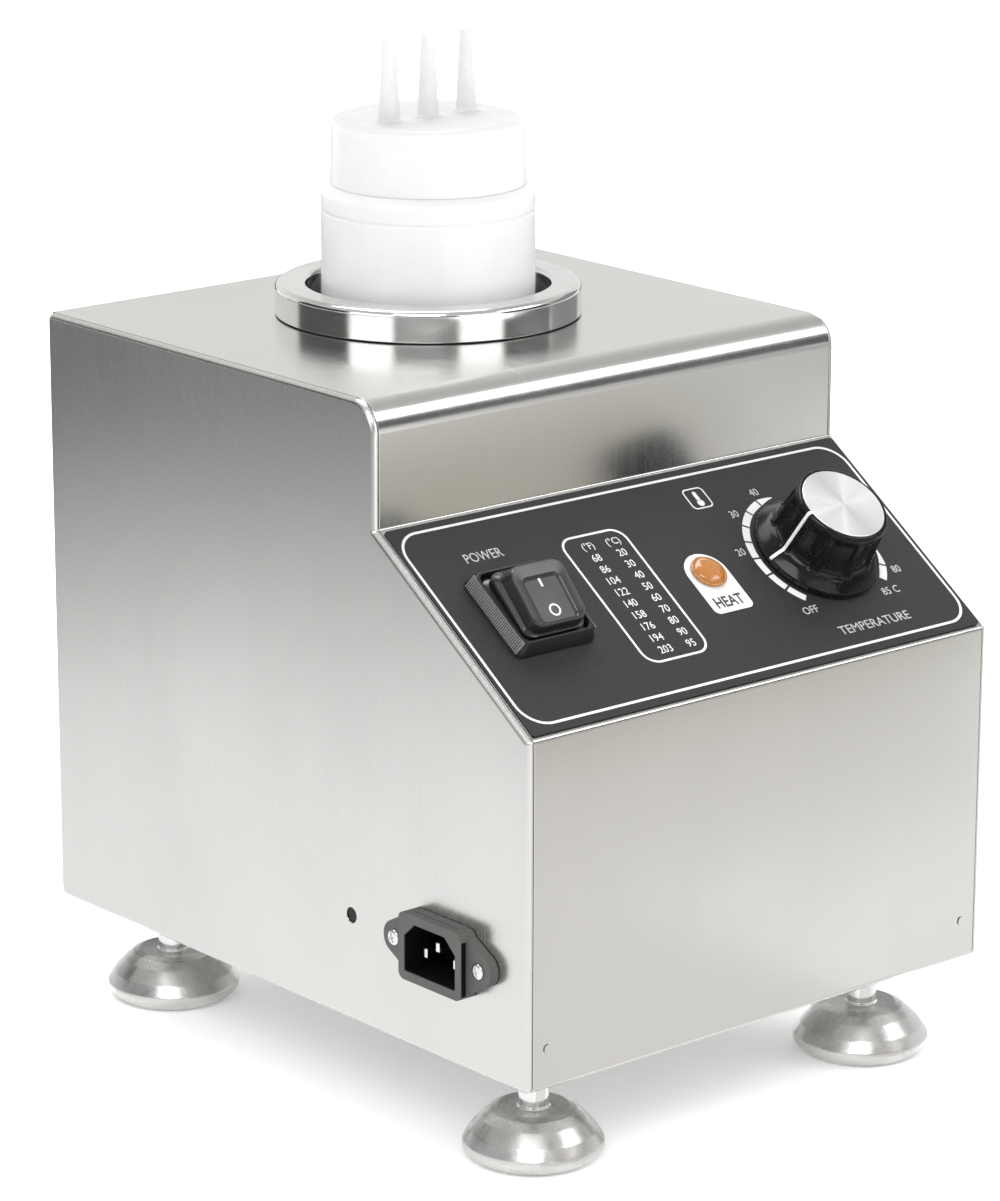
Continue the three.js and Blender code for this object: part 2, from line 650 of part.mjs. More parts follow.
function pilotBody() {
  const barrel = rod(LAMP.stemR, -22, -2 - GAP, LAMP.x, LAMP.s, MEDIUM);
  const nut = rod(7.4, -SHEET - GAP - 4, -SHEET - GAP, LAMP.x, LAMP.s, 6);
  const nutBore = rod(LAMP.stemR + 0.2, -2 - GAP, 0, LAMP.x, LAMP.s, MEDIUM);
  const tags = [-1, 1].map((side) => {
    const tag = box([-0.4, 0.4], [-1.4, 1.4], [-28, -21]);
    return tag.translate(LAMP.x + side * 2.4, LAMP.s, 0);
  });
  return cut(join(barrel, nut, ...tags), nutBore);
}

function thermostatBody() {
  const back = -SHEET - GAP;
  const bracket = extruded(roundedRectangle(26, 40, 3, KNOB.x, KNOB.s), back - 2, back);
  const block = extruded(roundedRectangle(34, 34, 2, KNOB.x, KNOB.s), back - 27, back - 1);
  const bush = rod(SHAFT_R + 1.6, back - 1, 2.6, KNOB.x, KNOB.s, MEDIUM);
  const bore = rod(SHAFT_R + GAP, -8, 4, KNOB.x, KNOB.s, MEDIUM);
  const holes = thermostatScrewPlaces.map(([x, s]) => rod(2.3, -11, 2, x, s));
  return cut(join(bracket, block, bush), bore, ...holes);
}

function flatSided(r, z0, z1) {
  return cut(rod(r, z0, z1, 0, 0, MEDIUM), box([r * 0.72, r + 1], [-r - 1, r + 1], [z0 - 1, z1 + 1]));
}

function thermostatShaft() {
  const shaft = join(rod(SHAFT_R, -7.5, 2.8, 0, 0, MEDIUM), flatSided(SHAFT_R, 2.5, 19));
  return shaft.translate(KNOB.x, KNOB.s, 0);
}

function controlKnob() {
  const { skirtR, bodyR, topR, low, high } = KNOB;
  const body = turned([
    [0, low],
    [skirtR, low],
    [skirtR, low + 2.2],
    [skirtR - 0.8, low + 3],
    [bodyR + 0.6, low + 3.8],
    [bodyR, low + 4.8],
    [topR + 0.6, high - 1.2],
    [topR, high],
    [KNOB_DISC_R + GAP, high],
    [KNOB_DISC_R + GAP, high - 1],
    [0, high - 1],
  ]);
  const hollow = rod(17.9, low - 1, low + 2, 0, 0, ROUND);
  return cut(body, hollow, flatSided(SHAFT_R + GAP, low, 19.4)).translate(KNOB.x, KNOB.s, 0);
}

add(controls, "control_overlay", controlOverlay(), overlayFilm);
add(controls, "switch_body", switchBody(), blackPlastic);
add(controls, "switch_rocker", switchRocker(), blackPlastic);
add(controls, "switch_boot", switchBoot(), softBlack);
add(controls, "pilot_lens", pilotLens(), orangeLens);
add(controls, "pilot_body", pilotBody(), whitePlastic);
add(controls, "thermostat_body", thermostatBody(), plainSteel);
add(controls, "thermostat_shaft", thermostatShaft(), zinc);
add(controls, "control_knob", controlKnob(), blackPlastic);
const disc = rod(KNOB_DISC_R, KNOB.high - 1 + GAP, KNOB.high + 0.2, KNOB.x, KNOB.s, ROUND);
add(controls, "knob_disc", disc, aluminium);
thermostatScrewPlaces.forEach(([x, s], i) => {
  const screw = join(rod(1.9, -9, 1), rod(3.5, GAP, 2.4));
  add(controls, `thermostat_screw_${i + 1}`, screw.translate(x, s, 0), zinc);
});

// ---- Power inlet ----

function inletRecess(z0, z1) {
  const [w, h, cornerX, cornerY] = [12.2, 8, 5, 4.6];
  const shape = new THREE.Shape();
  shape.moveTo(-w, -h);
  shape.lineTo(w, -h);
  shape.lineTo(w, h - cornerY);
  shape.lineTo(w - cornerX, h);
  shape.lineTo(-w + cornerX, h);
  shape.lineTo(-w, h - cornerY);
  return extruded(shape, z0, z1);
}

const pinPlaces = { live: [-7, -2], neutral: [7, -2], earth: [0, 2] };

function inletHousing() {
  const [ear, earR] = [INLET.screwSpacing / 2, 5.4];
  const turn = THREE.MathUtils.degToRad(62);
  const flange = new THREE.Shape();
  flange.moveTo(-14, 11.8);
  flange.lineTo(14, 11.8);
  flange.absarc(ear, 0, earR, turn, -turn, true);
  flange.lineTo(14, -11.8);
  flange.lineTo(-14, -11.8);
  flange.absarc(-ear, 0, earR, Math.PI + turn, Math.PI - turn, true);
  const plate = extruded(flange, GAP, 3.6, { curveSegments: 5 });
  const rim = extruded(roundedRectangle(29.6, 21.8, 2.4), GAP, INLET.proud);
  const block = extruded(roundedRectangle(26.8, 19.4, 1), -15, 1);
  const screwHoles = [-ear, ear].map((x) => rod(1.9, -1, 5, x));
  const pinSlots = Object.values(pinPlaces).map(([x, y]) => {
    return box([x - 1.3, x + 1.3], [y - 2.3, y + 2.3], [-16, -8]);
  });
  return cut(join(plate, rim, block), inletRecess(-9, 8), ...screwHoles, ...pinSlots);
}

add(inlet, "inlet_housing", inletHousing(), blackPlastic);
Object.entries(pinPlaces).forEach(([name, [x, y]]) => {
  const tip = name === "earth" ? 3.2 : 2.2;
  add(inlet, `inlet_pin_${name}`, box([x - 1, x + 1], [y - 2, y + 2], [-21, tip]), chrome);
});
[["front", 1], ["rear", -1]].forEach(([name, side]) => {
  const shank = rod(1.4, -6, 4);
  const head = rod(2.7, 3.6 + GAP, 5, 0, 0, SMALL, 2.3);
  const screw = cut(join(shank, head), crossSlot(3, 0.6, 4.4, 6));
  screw.translate((side * INLET.screwSpacing) / 2, 0, 0);
  add(inlet, `inlet_screw_${name}`, screw, chrome);
});

// ---- Wiring inside the housing ----

const FLOOR_Z = FOOT_CLEARANCE + 2 * SHEET + 2 * GAP + 1.5 + GAP;
const BLOCK = { x: [-58, -30], y: [50, 64], z: [FLOOR_Z, FLOOR_Z + 13] };
const EARTH = { x: -76, y: 82 };

function terminalBlock() {
  const ways = [-51, -44, -37].map((x) => {
    return rod(1.9, -1, 15).rotateX(-Math.PI / 2).translate(x, 49.5, FLOOR_Z + 5);
  });
  const screws = [-51, -44, -37].map((x) => rod(2, FLOOR_Z + 9, FLOOR_Z + 14, x, 57));
  return cut(box(BLOCK.x, BLOCK.y, BLOCK.z), ...ways, ...screws);
}

const earthStud = join(
  rod(2.5, FLOOR_Z, FLOOR_Z + 13, EARTH.x, EARTH.y),
  rod(4.6, FLOOR_Z, FLOOR_Z + 3.5, EARTH.x, EARTH.y, 6),
  rod(4.6, FLOOR_Z + 6, FLOOR_Z + 9.5, EARTH.x, EARTH.y, 6),
  rod(5.4, FLOOR_Z + 4.4, FLOOR_Z + 6.2, EARTH.x, EARTH.y),
);

const TAB_X = -HALF + 22.2; // behind the inlet's tabs
const PIN_Z = FOOT_CLEARANCE + INLET.z;
const wires = {
  live: [brownWire, [
    [TAB_X, INLET.y + 7, PIN_Z - 2],
    [-66, 52, 70],
    [-58, 58, 95],
    [-60, 58, 125],
    [-63, 54, 146],
  ]],
  neutral: [blueWire, [
    [TAB_X, INLET.y - 7, PIN_Z - 2],
    [-64, 36, 60],
    [-51, 38, 46],
    [-51, 48.6, FLOOR_Z + 5],
  ]],
  earth: [earthWire, [
    [TAB_X, INLET.y, PIN_Z + 2],
    [-70, 44, PIN_Z + 5],
    [-78, 60, 84],
    [-84, 78, 64],
    [-83.4, 82, FLOOR_Z + 6],
  ]],
  switched: [brownWire, [
    [-71, 46.5, 143],
    [-66, 44, 128],
    [-40, 34, 112],
    [10, 28, 106],
    [40, 42, 122],
    [48, 46, 137],
  ]],
  heater_live: [brownWire, [
    [60, 60, 145],
    [54, 72, 120],
    [34, 92, 110],
    [14, 104, 122],
    [12, 112.4, TOP_Z + BAND.low + 12],
  ]],
  heater_neutral: [blueWire, [
    [-44, 64.6, FLOOR_Z + 5],
    [-42, 78, 46],
    [-26, 98, 80],
    [-13, 108, 118],
    [-12, 112.4, TOP_Z + BAND.low + 12],
  ]],
  lamp: [whitePlastic, [
    [-37, 48.6, FLOOR_Z + 5],
    [-34, 38, 56],
    [-20, 46, 84],
    [0, 52, 118],
    [6, 53.5, 144],
  ]],
};

add(machine, "terminal_block", terminalBlock(), whitePlastic);
add(machine, "earth_stud", earthStud, brass);
Object.entries(wires).forEach(([name, [material, points]]) => {
  add(machine, `wire_${name}`, tube(points, 1.1, 14, 6), material);
});

// The capillary bulb beside the heater, and its tube to the thermostat.
const bulbX = bulbPlace[0];
const bulbY = WELL_Y + bulbPlace[1];
const bulb = join(
  rod(BULB.r, TOP_Z + BULB.low, TOP_Z + BULB.high, bulbX, bulbY, 16),
  tube([
    [bulbX, bulbY, TOP_Z + BULB.low + 2],
    [bulbX, bulbY, TOP_Z + BULB.low - 12],
    [bulbX + 6, bulbY - 24, TOP_Z + BULB.low - 16],
    [66, 90, 112],
    [66, 70, 128],
    [62, 68, 140],
  ], 1, 20, 6),
);
add(machine, "thermostat_bulb", bulb, copper);

// ---- Levelling feet ----

const BELL = { low: 0.5, wide: 4, high: FOOT.bellHeight };

function footBell() {
  const shell = turned([
    [0, BELL.low + 3.6],
    [17.6, BELL.low + 3.6],
    [17.6, BELL.low],
    [19.6, BELL.low],
    [21.6, BELL.low + 1.8],
    [FOOT.bellR, BELL.wide],
    [21.2, 6.8],
    [13.8, BELL.high - 1.6],
    [12.2, BELL.high],
    [10.6, BELL.high - 0.6],
    [9.4, BELL.high - 3],
    [0, BELL.high - 3],
  ], 28);
  return cut(shell, rod(STUD_R + GAP - 0.4, 7, BELL.high, 0, 0, MEDIUM));
}

Object.entries(footPlaces).forEach(([name, [x, y]]) => {
  const foot = new THREE.Group();
  foot.position.set(x, y, 0);
  machine.add(foot);
  const neck = rod(STUD_R - 0.4, 7.3, BELL.high + 1, 0, 0, MEDIUM);
  const stud = join(neck, rod(STUD_R, BELL.high, FLOOR_Z + 13, 0, 0, MEDIUM));
  add(foot, `foot_bell_${name}`, footBell(), chrome);
  add(foot, `foot_stud_${name}`, stud, zinc);
  add(foot, `foot_pad_${name}`, rod(17.2, 0, BELL.low + 3.6 - GAP, 0, 0, 28), blackRubber);
});

export default dispenser;
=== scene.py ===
"""Studio picture of a heated-well sauce dispenser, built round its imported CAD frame.

Builders work in millimetres in a local frame: HOUSING for the box, PANEL on the control slope,
WELL on the well's axis, INLET on the left side and one frame for each foot.
"""

import json
import math

import bmesh
import bpy
from mathutils import Matrix, Vector


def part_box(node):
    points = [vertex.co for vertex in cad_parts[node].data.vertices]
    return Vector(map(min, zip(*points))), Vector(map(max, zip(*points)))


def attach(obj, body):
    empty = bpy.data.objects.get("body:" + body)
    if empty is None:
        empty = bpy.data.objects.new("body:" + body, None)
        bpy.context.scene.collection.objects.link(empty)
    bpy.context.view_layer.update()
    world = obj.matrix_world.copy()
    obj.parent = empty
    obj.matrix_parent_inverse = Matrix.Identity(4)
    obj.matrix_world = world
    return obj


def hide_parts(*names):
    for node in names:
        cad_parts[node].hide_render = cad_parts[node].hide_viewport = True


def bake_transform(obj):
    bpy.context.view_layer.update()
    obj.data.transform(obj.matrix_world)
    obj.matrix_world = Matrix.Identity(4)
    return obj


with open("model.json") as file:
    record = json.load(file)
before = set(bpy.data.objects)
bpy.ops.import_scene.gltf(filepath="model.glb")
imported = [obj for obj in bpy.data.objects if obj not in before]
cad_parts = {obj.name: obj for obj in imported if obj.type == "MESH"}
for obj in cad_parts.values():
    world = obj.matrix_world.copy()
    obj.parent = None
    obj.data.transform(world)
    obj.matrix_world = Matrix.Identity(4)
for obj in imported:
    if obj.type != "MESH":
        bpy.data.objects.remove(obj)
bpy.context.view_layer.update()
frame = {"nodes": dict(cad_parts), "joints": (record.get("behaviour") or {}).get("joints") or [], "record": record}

MM = 0.001
FULL = 2 * math.pi

# ---- Places, from the frame ----

JOINTS = {joint["name"]: joint for joint in frame["joints"]}


def axes(origin, x_axis, y_axis, z_axis):
    """The matrix of a local frame whose own units are metres."""
    matrix = Matrix((x_axis, y_axis, z_axis)).transposed().to_4x4()
    matrix.translation = origin
    return matrix


def middle(node):
    low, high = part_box(node)
    return (low + high) / 2


X_AXIS = Vector((1, 0, 0))
UP = Vector((0, 0, 1))
LEFT_LOW, LEFT_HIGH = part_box("left_side_panel")
RIGHT_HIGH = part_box("right_side_panel")[1]
MID_X = (LEFT_LOW.x + RIGHT_HIGH.x) / 2
HALF = (RIGHT_HIGH.x - LEFT_LOW.x) / 2 / MM
DEPTH = (LEFT_HIGH.y - LEFT_LOW.y) / MM
LOW = LEFT_LOW.z / MM
TOP = LEFT_HIGH.z / MM
HOUSING = Matrix.Translation((MID_X, LEFT_LOW.y, 0))

NORMAL = -Vector(JOINTS["knob_turn"]["axis"])
UP_SLOPE = NORMAL.cross(X_AXIS)
KNOB_X, KNOB_S = 53.9, 43.6
KNOB_AT = Vector(JOINTS["knob_turn"]["pos_m"])
PANEL_AT = KNOB_AT - X_AXIS * KNOB_X * MM - UP_SLOPE * KNOB_S * MM
PANEL = axes(PANEL_AT, X_AXIS, UP_SLOPE, NORMAL)
KNOB = axes(KNOB_AT, X_AXIS, UP_SLOPE, NORMAL)
SLOPE_LOW = PANEL_AT.z / MM
SLOPE_TAN = -NORMAL.y / NORMAL.z
RISER = 72.3
SLOPE_LENGTH = RISER / NORMAL.z

WELL_AT = middle("well_cup").to_2d().to_3d() + UP * TOP * MM
WELL = Matrix.Translation(WELL_AT)

PIN_MIDDLE = (middle("inlet_pin_live") + middle("inlet_pin_neutral")) / 2 + UP * 2 * MM
INLET_AT = Vector((LEFT_LOW.x, PIN_MIDDLE.y, PIN_MIDDLE.z))
INLET = axes(INLET_AT, Vector((0, -1, 0)), UP, Vector((-1, 0, 0)))
INLET_SCREW_X = 20.0
SCREW_HOLE_R = 1.9

# ---- Camera, light and floor ----

CAMERA_AT = Vector((-0.9547, -1.1170, 0.5589))
CAMERA_FORWARD = Vector((0.62502, 0.73216, -0.27071))
CAMERA_ROLL = math.radians(0.13)


def add(name, data):
    """A new object in the scene."""
    obj = bpy.data.objects.new(name, data)
    bpy.context.scene.collection.objects.link(obj)
    return obj


def make_camera():
    data = bpy.data.cameras.new("camera")
    data.lens = 140.34
    data.sensor_width = 36
    data.clip_end = 100
    camera = add("camera", data)
    turn = CAMERA_FORWARD.to_track_quat("-Z", "Y").to_matrix().to_4x4()
    camera.matrix_world = Matrix.Translation(CAMERA_AT) @ turn @ Matrix.Rotation(CAMERA_ROLL, 4, "Z")
    bpy.context.scene.camera = camera


def area_light(name, at, target, size, power, mirrored=True):
    data = bpy.data.lights.new(name, "AREA")
    data.shape = "RECTANGLE"
    data.size, data.size_y = size
    data.energy = power
    light = add(name, data)
    light.location = at
    light.visible_glossy = mirrored
    light.rotation_euler = (Vector(target) - Vector(at)).to_track_quat("-Z", "Y").to_euler()


def fill_ramp(ramp, stops):
    """Gives a colour ramp its stops, as (position, colour) in rising order."""
    elements = ramp.color_ramp.elements
    for element, (position, color) in zip(list(elements), (stops[0], stops[-1])):
        element.position, element.color = position, (*color, 1)
    for position, color in stops[1:-1]:
        elements.new(position).color = (*color, 1)


def glow(name, along, stops):
    """A card's finish: brightness that changes with the distance along a direction, in metres."""
    made = Surface(name, (0, 0, 0), 0.5)
    made.set("Specular IOR Level", 0)
    made.set("Emission Strength", 1)
    distance = made.node("VectorMath", operation="DOT_PRODUCT")
    distance.inputs[1].default_value = along
    made.link(made.node("TexCoord").outputs["Object"], distance.inputs[0])
    ramp = made.node("ValToRGB")
    fill_ramp(ramp, stops)
    made.link(distance.outputs["Value"], ramp.inputs[0])
    made.link(ramp.outputs["Color"], made.shader.inputs["Emission Color"])
    return made.material


def flat_piece(name, points, faces, material):
    mesh = bpy.data.meshes.new(name)
    mesh.from_pydata(points, [], faces)
    mesh.materials.append(material)
    return add(name, mesh)


def card(name, points, faces, material):
    """A studio card that only mirror rays meet."""
    obj = flat_piece(name, points, faces, material)
    obj.visible_camera = False
    obj.visible_diffuse = False
    obj.visible_shadow = False
    obj.visible_transmission = False


def grey(value):
    return (value, value, value)


CARD_GAP = 0.004
CARD_LOW = 0.001


def folded_card(name, material, edge, reach, top, ends, facing_y=False):
    """A card that leaves an edge of the housing along the floor and stands up at its far end."""
    near, far = edge + math.copysign(CARD_GAP, reach), edge + reach
    fold = ((near, CARD_LOW), (far, CARD_LOW), (far, top))
    points = [(end, out, z) if facing_y else (out, end, z) for out, z in fold for end in ends]
    card(name, points, [(0, 1, 3, 2), (2, 3, 5, 4)], material)


def side_cards():
    """Cards beside and behind the housing, darker upwards, and one before the front, beige upwards."""
    fade = ((0.0, 1.1), (0.052, 1.03), (0.077, 0.92), (0.104, 0.74), (0.129, 0.56), (0.154, 0.44),
            (0.177, 0.3), (0.207, 0.18))
    dark = glow("side_card", (0, 0.15, 1), [(at, grey(value)) for at, value in fade])
    folded_card("left_card", dark, LEFT_LOW.x, -0.2, 0.22, (-0.6, 1.4))
    folded_card("right_card", dark, RIGHT_HIGH.x, 0.2, 0.22, (-0.6, 1.4))
    folded_card("back_card", dark, LEFT_HIGH.y, 0.2, 0.22, (-0.8, 0.8), True)
    warm = [(0, (0.86, 0.845, 0.82)), (0.062, (0.8, 0.78, 0.75)), (0.08, (0.46, 0.44, 0.375)),
            (0.14, (0.46, 0.44, 0.375)), (0.158, (0.8, 0.79, 0.76))]
    beige = glow("front_card", (0, 0, 1), warm)
    folded_card("front_card", beige, LEFT_LOW.y, -0.18, 0.17, (LEFT_LOW.x, 1.2), True)


def screens():
    """Dark and bright screens low round the set, for the bands on polished metal."""
    forward = Vector((CAMERA_FORWARD.x, CAMERA_FORWARD.y, 0)).normalized()
    right = Vector((forward.y, -forward.x, 0))
    reach = 1.5
    bands = ((-112, -62, 0.04), (-60, -27, 1.7), (-25, 22, 0.28), (24, 57, 1.7), (59, 104, 0.05),
             (106, 150, 0.3))
    for number, (first, last, value) in enumerate(bands):
        points = []
        for k in range(9):
            angle = math.radians(first + (last - first) * k / 8)
            at = (right * math.sin(angle) - forward * math.cos(angle)) * reach
            points += [(at.x, at.y, 0.3), (at.x, at.y, 1.0)]
        faces = [(2 * k, 2 * k + 2, 2 * k + 3, 2 * k + 1) for k in range(8)]
        finish = glow(f"screen_{number}", (0, 0, 1), [(0, grey(value)), (1, grey(value))])
        card(f"screen_{number}", points, faces, finish)


def make_world():
    world = bpy.data.worlds.new("studio")
    world.use_nodes = True
    tree = world.node_tree
    coordinates = tree.nodes.new("ShaderNodeTexCoord")
    split = tree.nodes.new("ShaderNodeSeparateXYZ")
    tree.links.new(coordinates.outputs["Generated"], split.inputs[0])
    ramp = tree.nodes.new("ShaderNodeValToRGB")
    ramp.color_ramp.interpolation = "EASE"
    walls = [(at, (v, v * 0.995, v * 0.98)) for at, v in ((0.28, 0.86), (0.48, 0.74), (0.75, 0.52))]
    fill_ramp(ramp, [(0, grey(0.86)), *walls, (1, grey(0.62))])
    tree.links.new(split.outputs["Z"], ramp.inputs[0])
    tree.links.new(ramp.outputs["Color"], tree.nodes["Background"].inputs["Color"])
    bpy.context.scene.world = world


def make_floor():
    reach = 9.0
    corners = [(-reach, -reach, 0), (reach, -reach, 0), (reach, reach, 0), (-reach, reach, 0)]
    paper = Surface("floor", grey(0.93), 0.9)
    paper.set("Emission Color", (1, 1, 1, 1))
    paper.set("Emission Strength", 0.22)
    paper.set("Specular IOR Level", 0.1)
    floor = flat_piece("floor", corners, [(0, 1, 2, 3)], paper.material)


# ---- Materials ----


class Surface:
    """A Principled material with a few procedural helpers."""

    def __init__(self, name, color, roughness, metallic=0.0):
        self.material = bpy.data.materials.new(name)
        self.material.use_nodes = True
        self.tree = self.material.node_tree
        self.shader = self.tree.nodes["Principled BSDF"]
        self.color = color
        self.set("Base Color", (*color, 1))
        self.set("Roughness", roughness)
        self.set("Metallic", metallic)
        self.height = None

    def set(self, socket, value):
        self.shader.inputs[socket].default_value = value

    def node(self, kind, **settings):
        made = self.tree.nodes.new("ShaderNode" + kind)
        for key, value in settings.items():
            setattr(made, key, value)
        return made

    def link(self, output, target):
        self.tree.links.new(output, target)

    def place(self, scale=(1, 1, 1)):
        """Object coordinates in metres, times a scale for each axis."""
        mapping = self.node("Mapping")
        mapping.inputs["Scale"].default_value = scale
        self.link(self.node("TexCoord").outputs["Object"], mapping.inputs["Vector"])
        return mapping.outputs["Vector"]

    def noise(self, scale, detail=4.0, stretch=(1, 1, 1), rough=0.5):
        made = self.node("TexNoise")
        made.inputs["Scale"].default_value = scale
        made.inputs["Detail"].default_value = detail
        made.inputs["Roughness"].default_value = rough
        self.link(self.place(stretch), made.inputs["Vector"])
        return made.outputs["Fac"]

    def spread(self, value, low, high, start=0.3, stop=0.7):
        """A value from a texture, stretched from start..stop to low..high."""
        made = self.node("MapRange")
        ends = {"From Min": start, "From Max": stop, "To Min": low, "To Max": high}
        for socket, number in ends.items():
            made.inputs[socket].default_value = number
        self.link(value, made.inputs["Value"])
        return made.outputs["Result"]

    def tint(self, value, other, start=0.3, stop=0.7):
        """Mixes another colour in where the value is high."""
        mix = self.node("MixRGB")
        source = self.shader.inputs["Base Color"]
        if source.is_linked:
            self.link(source.links[0].from_socket, mix.inputs["Color1"])
        else:
            mix.inputs["Color1"].default_value = (*self.color, 1)
        mix.inputs["Color2"].default_value = (*other, 1)
        self.link(self.spread(value, 0, 1, start, stop), mix.inputs["Fac"])
        self.link(mix.outputs["Color"], source)
        return self

    def rough(self, value, low, high, start=0.3, stop=0.7):
        self.link(self.spread(value, low, high, start, stop), self.shader.inputs["Roughness"])
        return self

    def bump(self, value, depth_mm, strength=1.0):
        made = self.node("Bump")
        made.inputs["Strength"].default_value = strength
        made.inputs["Distance"].default_value = depth_mm * MM
        self.link(value, made.inputs["Height"])
        if self.height:
            self.link(self.height, made.inputs["Normal"])
        self.height = made.outputs["Normal"]
        self.link(self.height, self.shader.inputs["Normal"])
        return self


def brushed(name, color, roughness, grain, smudge=0.06):
    """Stainless sheet: long fine scratches along one axis and faint smudges."""
    steel = Surface(name, color, roughness, 1.0)
    scratches = steel.noise(1.0, 6.0, grain, 0.65)
    smudges = steel.noise(14.0, 5.0, (1, 1, 0.6), 0.6)
    darker = tuple(c * (1 - smudge) for c in color)
    steel.tint(smudges, darker)
    mixed = steel.node("Math", operation="MULTIPLY_ADD")
    steel.link(scratches, mixed.inputs[0])
    mixed.inputs[1].default_value = 0.7
    steel.link(steel.spread(smudges, 0, 0.3), mixed.inputs[2])
    steel.rough(mixed.outputs[0], roughness - 0.07, roughness + 0.09, 0.25, 0.8)
    steel.bump(scratches, 0.012, 0.5)
    return steel.material


def polished(name, color, roughness, wear=0.05):
    """Bright metal with faint hazing and dings."""
    metal = Surface(name, color, roughness, 1.0)
    haze = metal.noise(55.0, 5.0)
    metal.tint(haze, tuple(c * 0.86 for c in color), 0.45, 0.8)
    metal.rough(haze, roughness - wear / 2, roughness + wear, 0.3, 0.75)
    metal.bump(metal.noise(160.0, 3.0), 0.01, 0.4)
    return metal.material


def cast_chrome(name):
    """Plated casting, darker in soft vertical streaks that also give it a soft relief, with pits."""
    metal = Surface(name, (0.64, 0.636, 0.624), 0.24, 1.0)
    dark_streaks = metal.noise(70.0, 4.0, (1, 1, 0.4))
    metal.tint(dark_streaks, (0.44, 0.437, 0.427), 0.4, 0.75)
    metal.rough(metal.noise(120.0), 0.17, 0.36)
    metal.bump(dark_streaks, 0.3, 0.6)
    metal.bump(metal.noise(600.0, 3.0), 0.03, 0.4)
    return metal.material


def faced(name):
    """A disc faced on a lathe, with painted highlights in fans about its middle in its base colour, and fine rings
    in its roughness and bump.
    """
    metal = Surface(name, grey(0.9), 0.24, 0.72)
    turn = metal.node("TexGradient", gradient_type="RADIAL")
    metal.link(metal.place(), turn.inputs["Vector"])
    # Painted highlights: angle in degrees and base-colour brightness round the disc, bright fans standing in for
    # reflected light.
    highlight_fans = ((3, 1.0), (22, 0.88), (55, 1.0), (66, 0.84), (98, 0.68), (125, 0.82), (150, 0.93),
            (174, 0.9), (183, 1.0), (200, 0.82), (224, 0.88), (235, 1.0), (248, 0.84), (276, 0.7),
            (310, 0.84), (345, 0.9))
    ramp = metal.node("ValToRGB")
    fill_ramp(ramp, sorted(((degrees / 360 + 0.5) % 1, grey(value)) for degrees, value in highlight_fans))
    metal.link(turn.outputs["Fac"], ramp.inputs[0])
    metal.link(ramp.outputs["Color"], metal.shader.inputs["Base Color"])
    rings = metal.node("TexWave", wave_type="RINGS", rings_direction="Z")
    rings.inputs["Scale"].default_value = 900
    metal.link(metal.place(), rings.inputs["Vector"])
    metal.rough(rings.outputs["Fac"], 0.2, 0.32, 0, 1)
    metal.bump(rings.outputs["Fac"], 0.003, 0.3)
    return metal.material


def plastic(name, color, roughness, grain_mm=0.03, grain_scale=900.0, dust=None, gloss=0.5):
    """Moulded plastic or rubber with a fine texture, uneven gloss and optional dust."""
    made = Surface(name, color, roughness)
    patches = made.noise(45.0)
    made.rough(patches, roughness - 0.05, roughness + 0.09)
    made.tint(patches, tuple(c * 0.82 for c in color), 0.35, 0.8)
    if dust:
        made.tint(made.noise(2300.0, 2.0), dust, 0.66, 0.86)
    made.bump(made.noise(grain_scale, 2.0), grain_mm, 0.6)
    made.set("Specular IOR Level", gloss)
    return made.material


def milky(name, color, roughness, painted_top_shade):
    """Translucent polyethylene, slightly cloudy, with painted shade that darkens it by a factor where it faces up.
    """
    made = Surface(name, color, roughness)
    cloud = made.noise(60.0)
    made.tint(cloud, tuple(c * 0.95 for c in color))
    # Painted shade: the base colour darkens where the surface faces up.
    facing = made.node("SeparateXYZ")
    made.link(made.node("TexCoord").outputs["Normal"], facing.inputs[0])
    made.tint(facing.outputs["Z"], tuple(c * painted_top_shade for c in color), 0.2, 0.95)
    made.rough(cloud, roughness - 0.06, roughness + 0.08)
    made.bump(made.noise(220.0, 3.0), 0.01, 0.3)
    made.set("Subsurface Weight", 0.3)
    made.set("Subsurface Radius", (1.0, 1.0, 0.95))
    made.set("Subsurface Scale", 0.003)
    made.set("IOR", 1.45)
    return made.material


def lens(name):
    """Orange translucent cap with a clear coat, lighter in a pattern of small facets."""
    made = Surface(name, (0.38, 0.145, 0.028), 0.2)
    facets = made.node("TexVoronoi", feature="DISTANCE_TO_EDGE")
    facets.inputs["Scale"].default_value = 700
    made.link(made.place(), facets.inputs["Vector"])
    made.tint(facets.outputs["Distance"], (0.50, 0.21, 0.05), 0.1, 0.5)
    made.bump(made.noise(300.0, 2.0), 0.02, 0.4)
    made.set("Subsurface Weight", 0.1)
    made.set("Subsurface Radius", (1.0, 0.5, 0.2))
    made.set("Subsurface Scale", 0.004)
    made.set("Coat Weight", 0.8)
    made.set("Coat Roughness", 0.05)
    return made.material


def felt(name, color):
    made = Surface(name, color, 0.95)
    fibres = made.noise(500.0, 6.0, (1, 1, 3), 0.7)
    made.tint(fibres, tuple(c * 0.7 for c in color))
    made.bump(fibres, 0.6)
    made.set("Sheen Weight", 0.3)
    return made.material


def film(name):
    """Dark printed film with a fine satin embossing."""
    made = Surface(name, (0.027, 0.027, 0.029), 0.42)
    patches = made.noise(18.0)
    made.tint(patches, (0.021, 0.021, 0.023))
    made.tint(made.noise(2200.0, 2.0), (0.036, 0.036, 0.039), 0.5, 0.8)
    made.set("Specular IOR Level", 0.3)
    made.rough(patches, 0.36, 0.5)
    made.bump(made.noise(1500.0, 2.0), 0.02, 0.5)
    return made.material


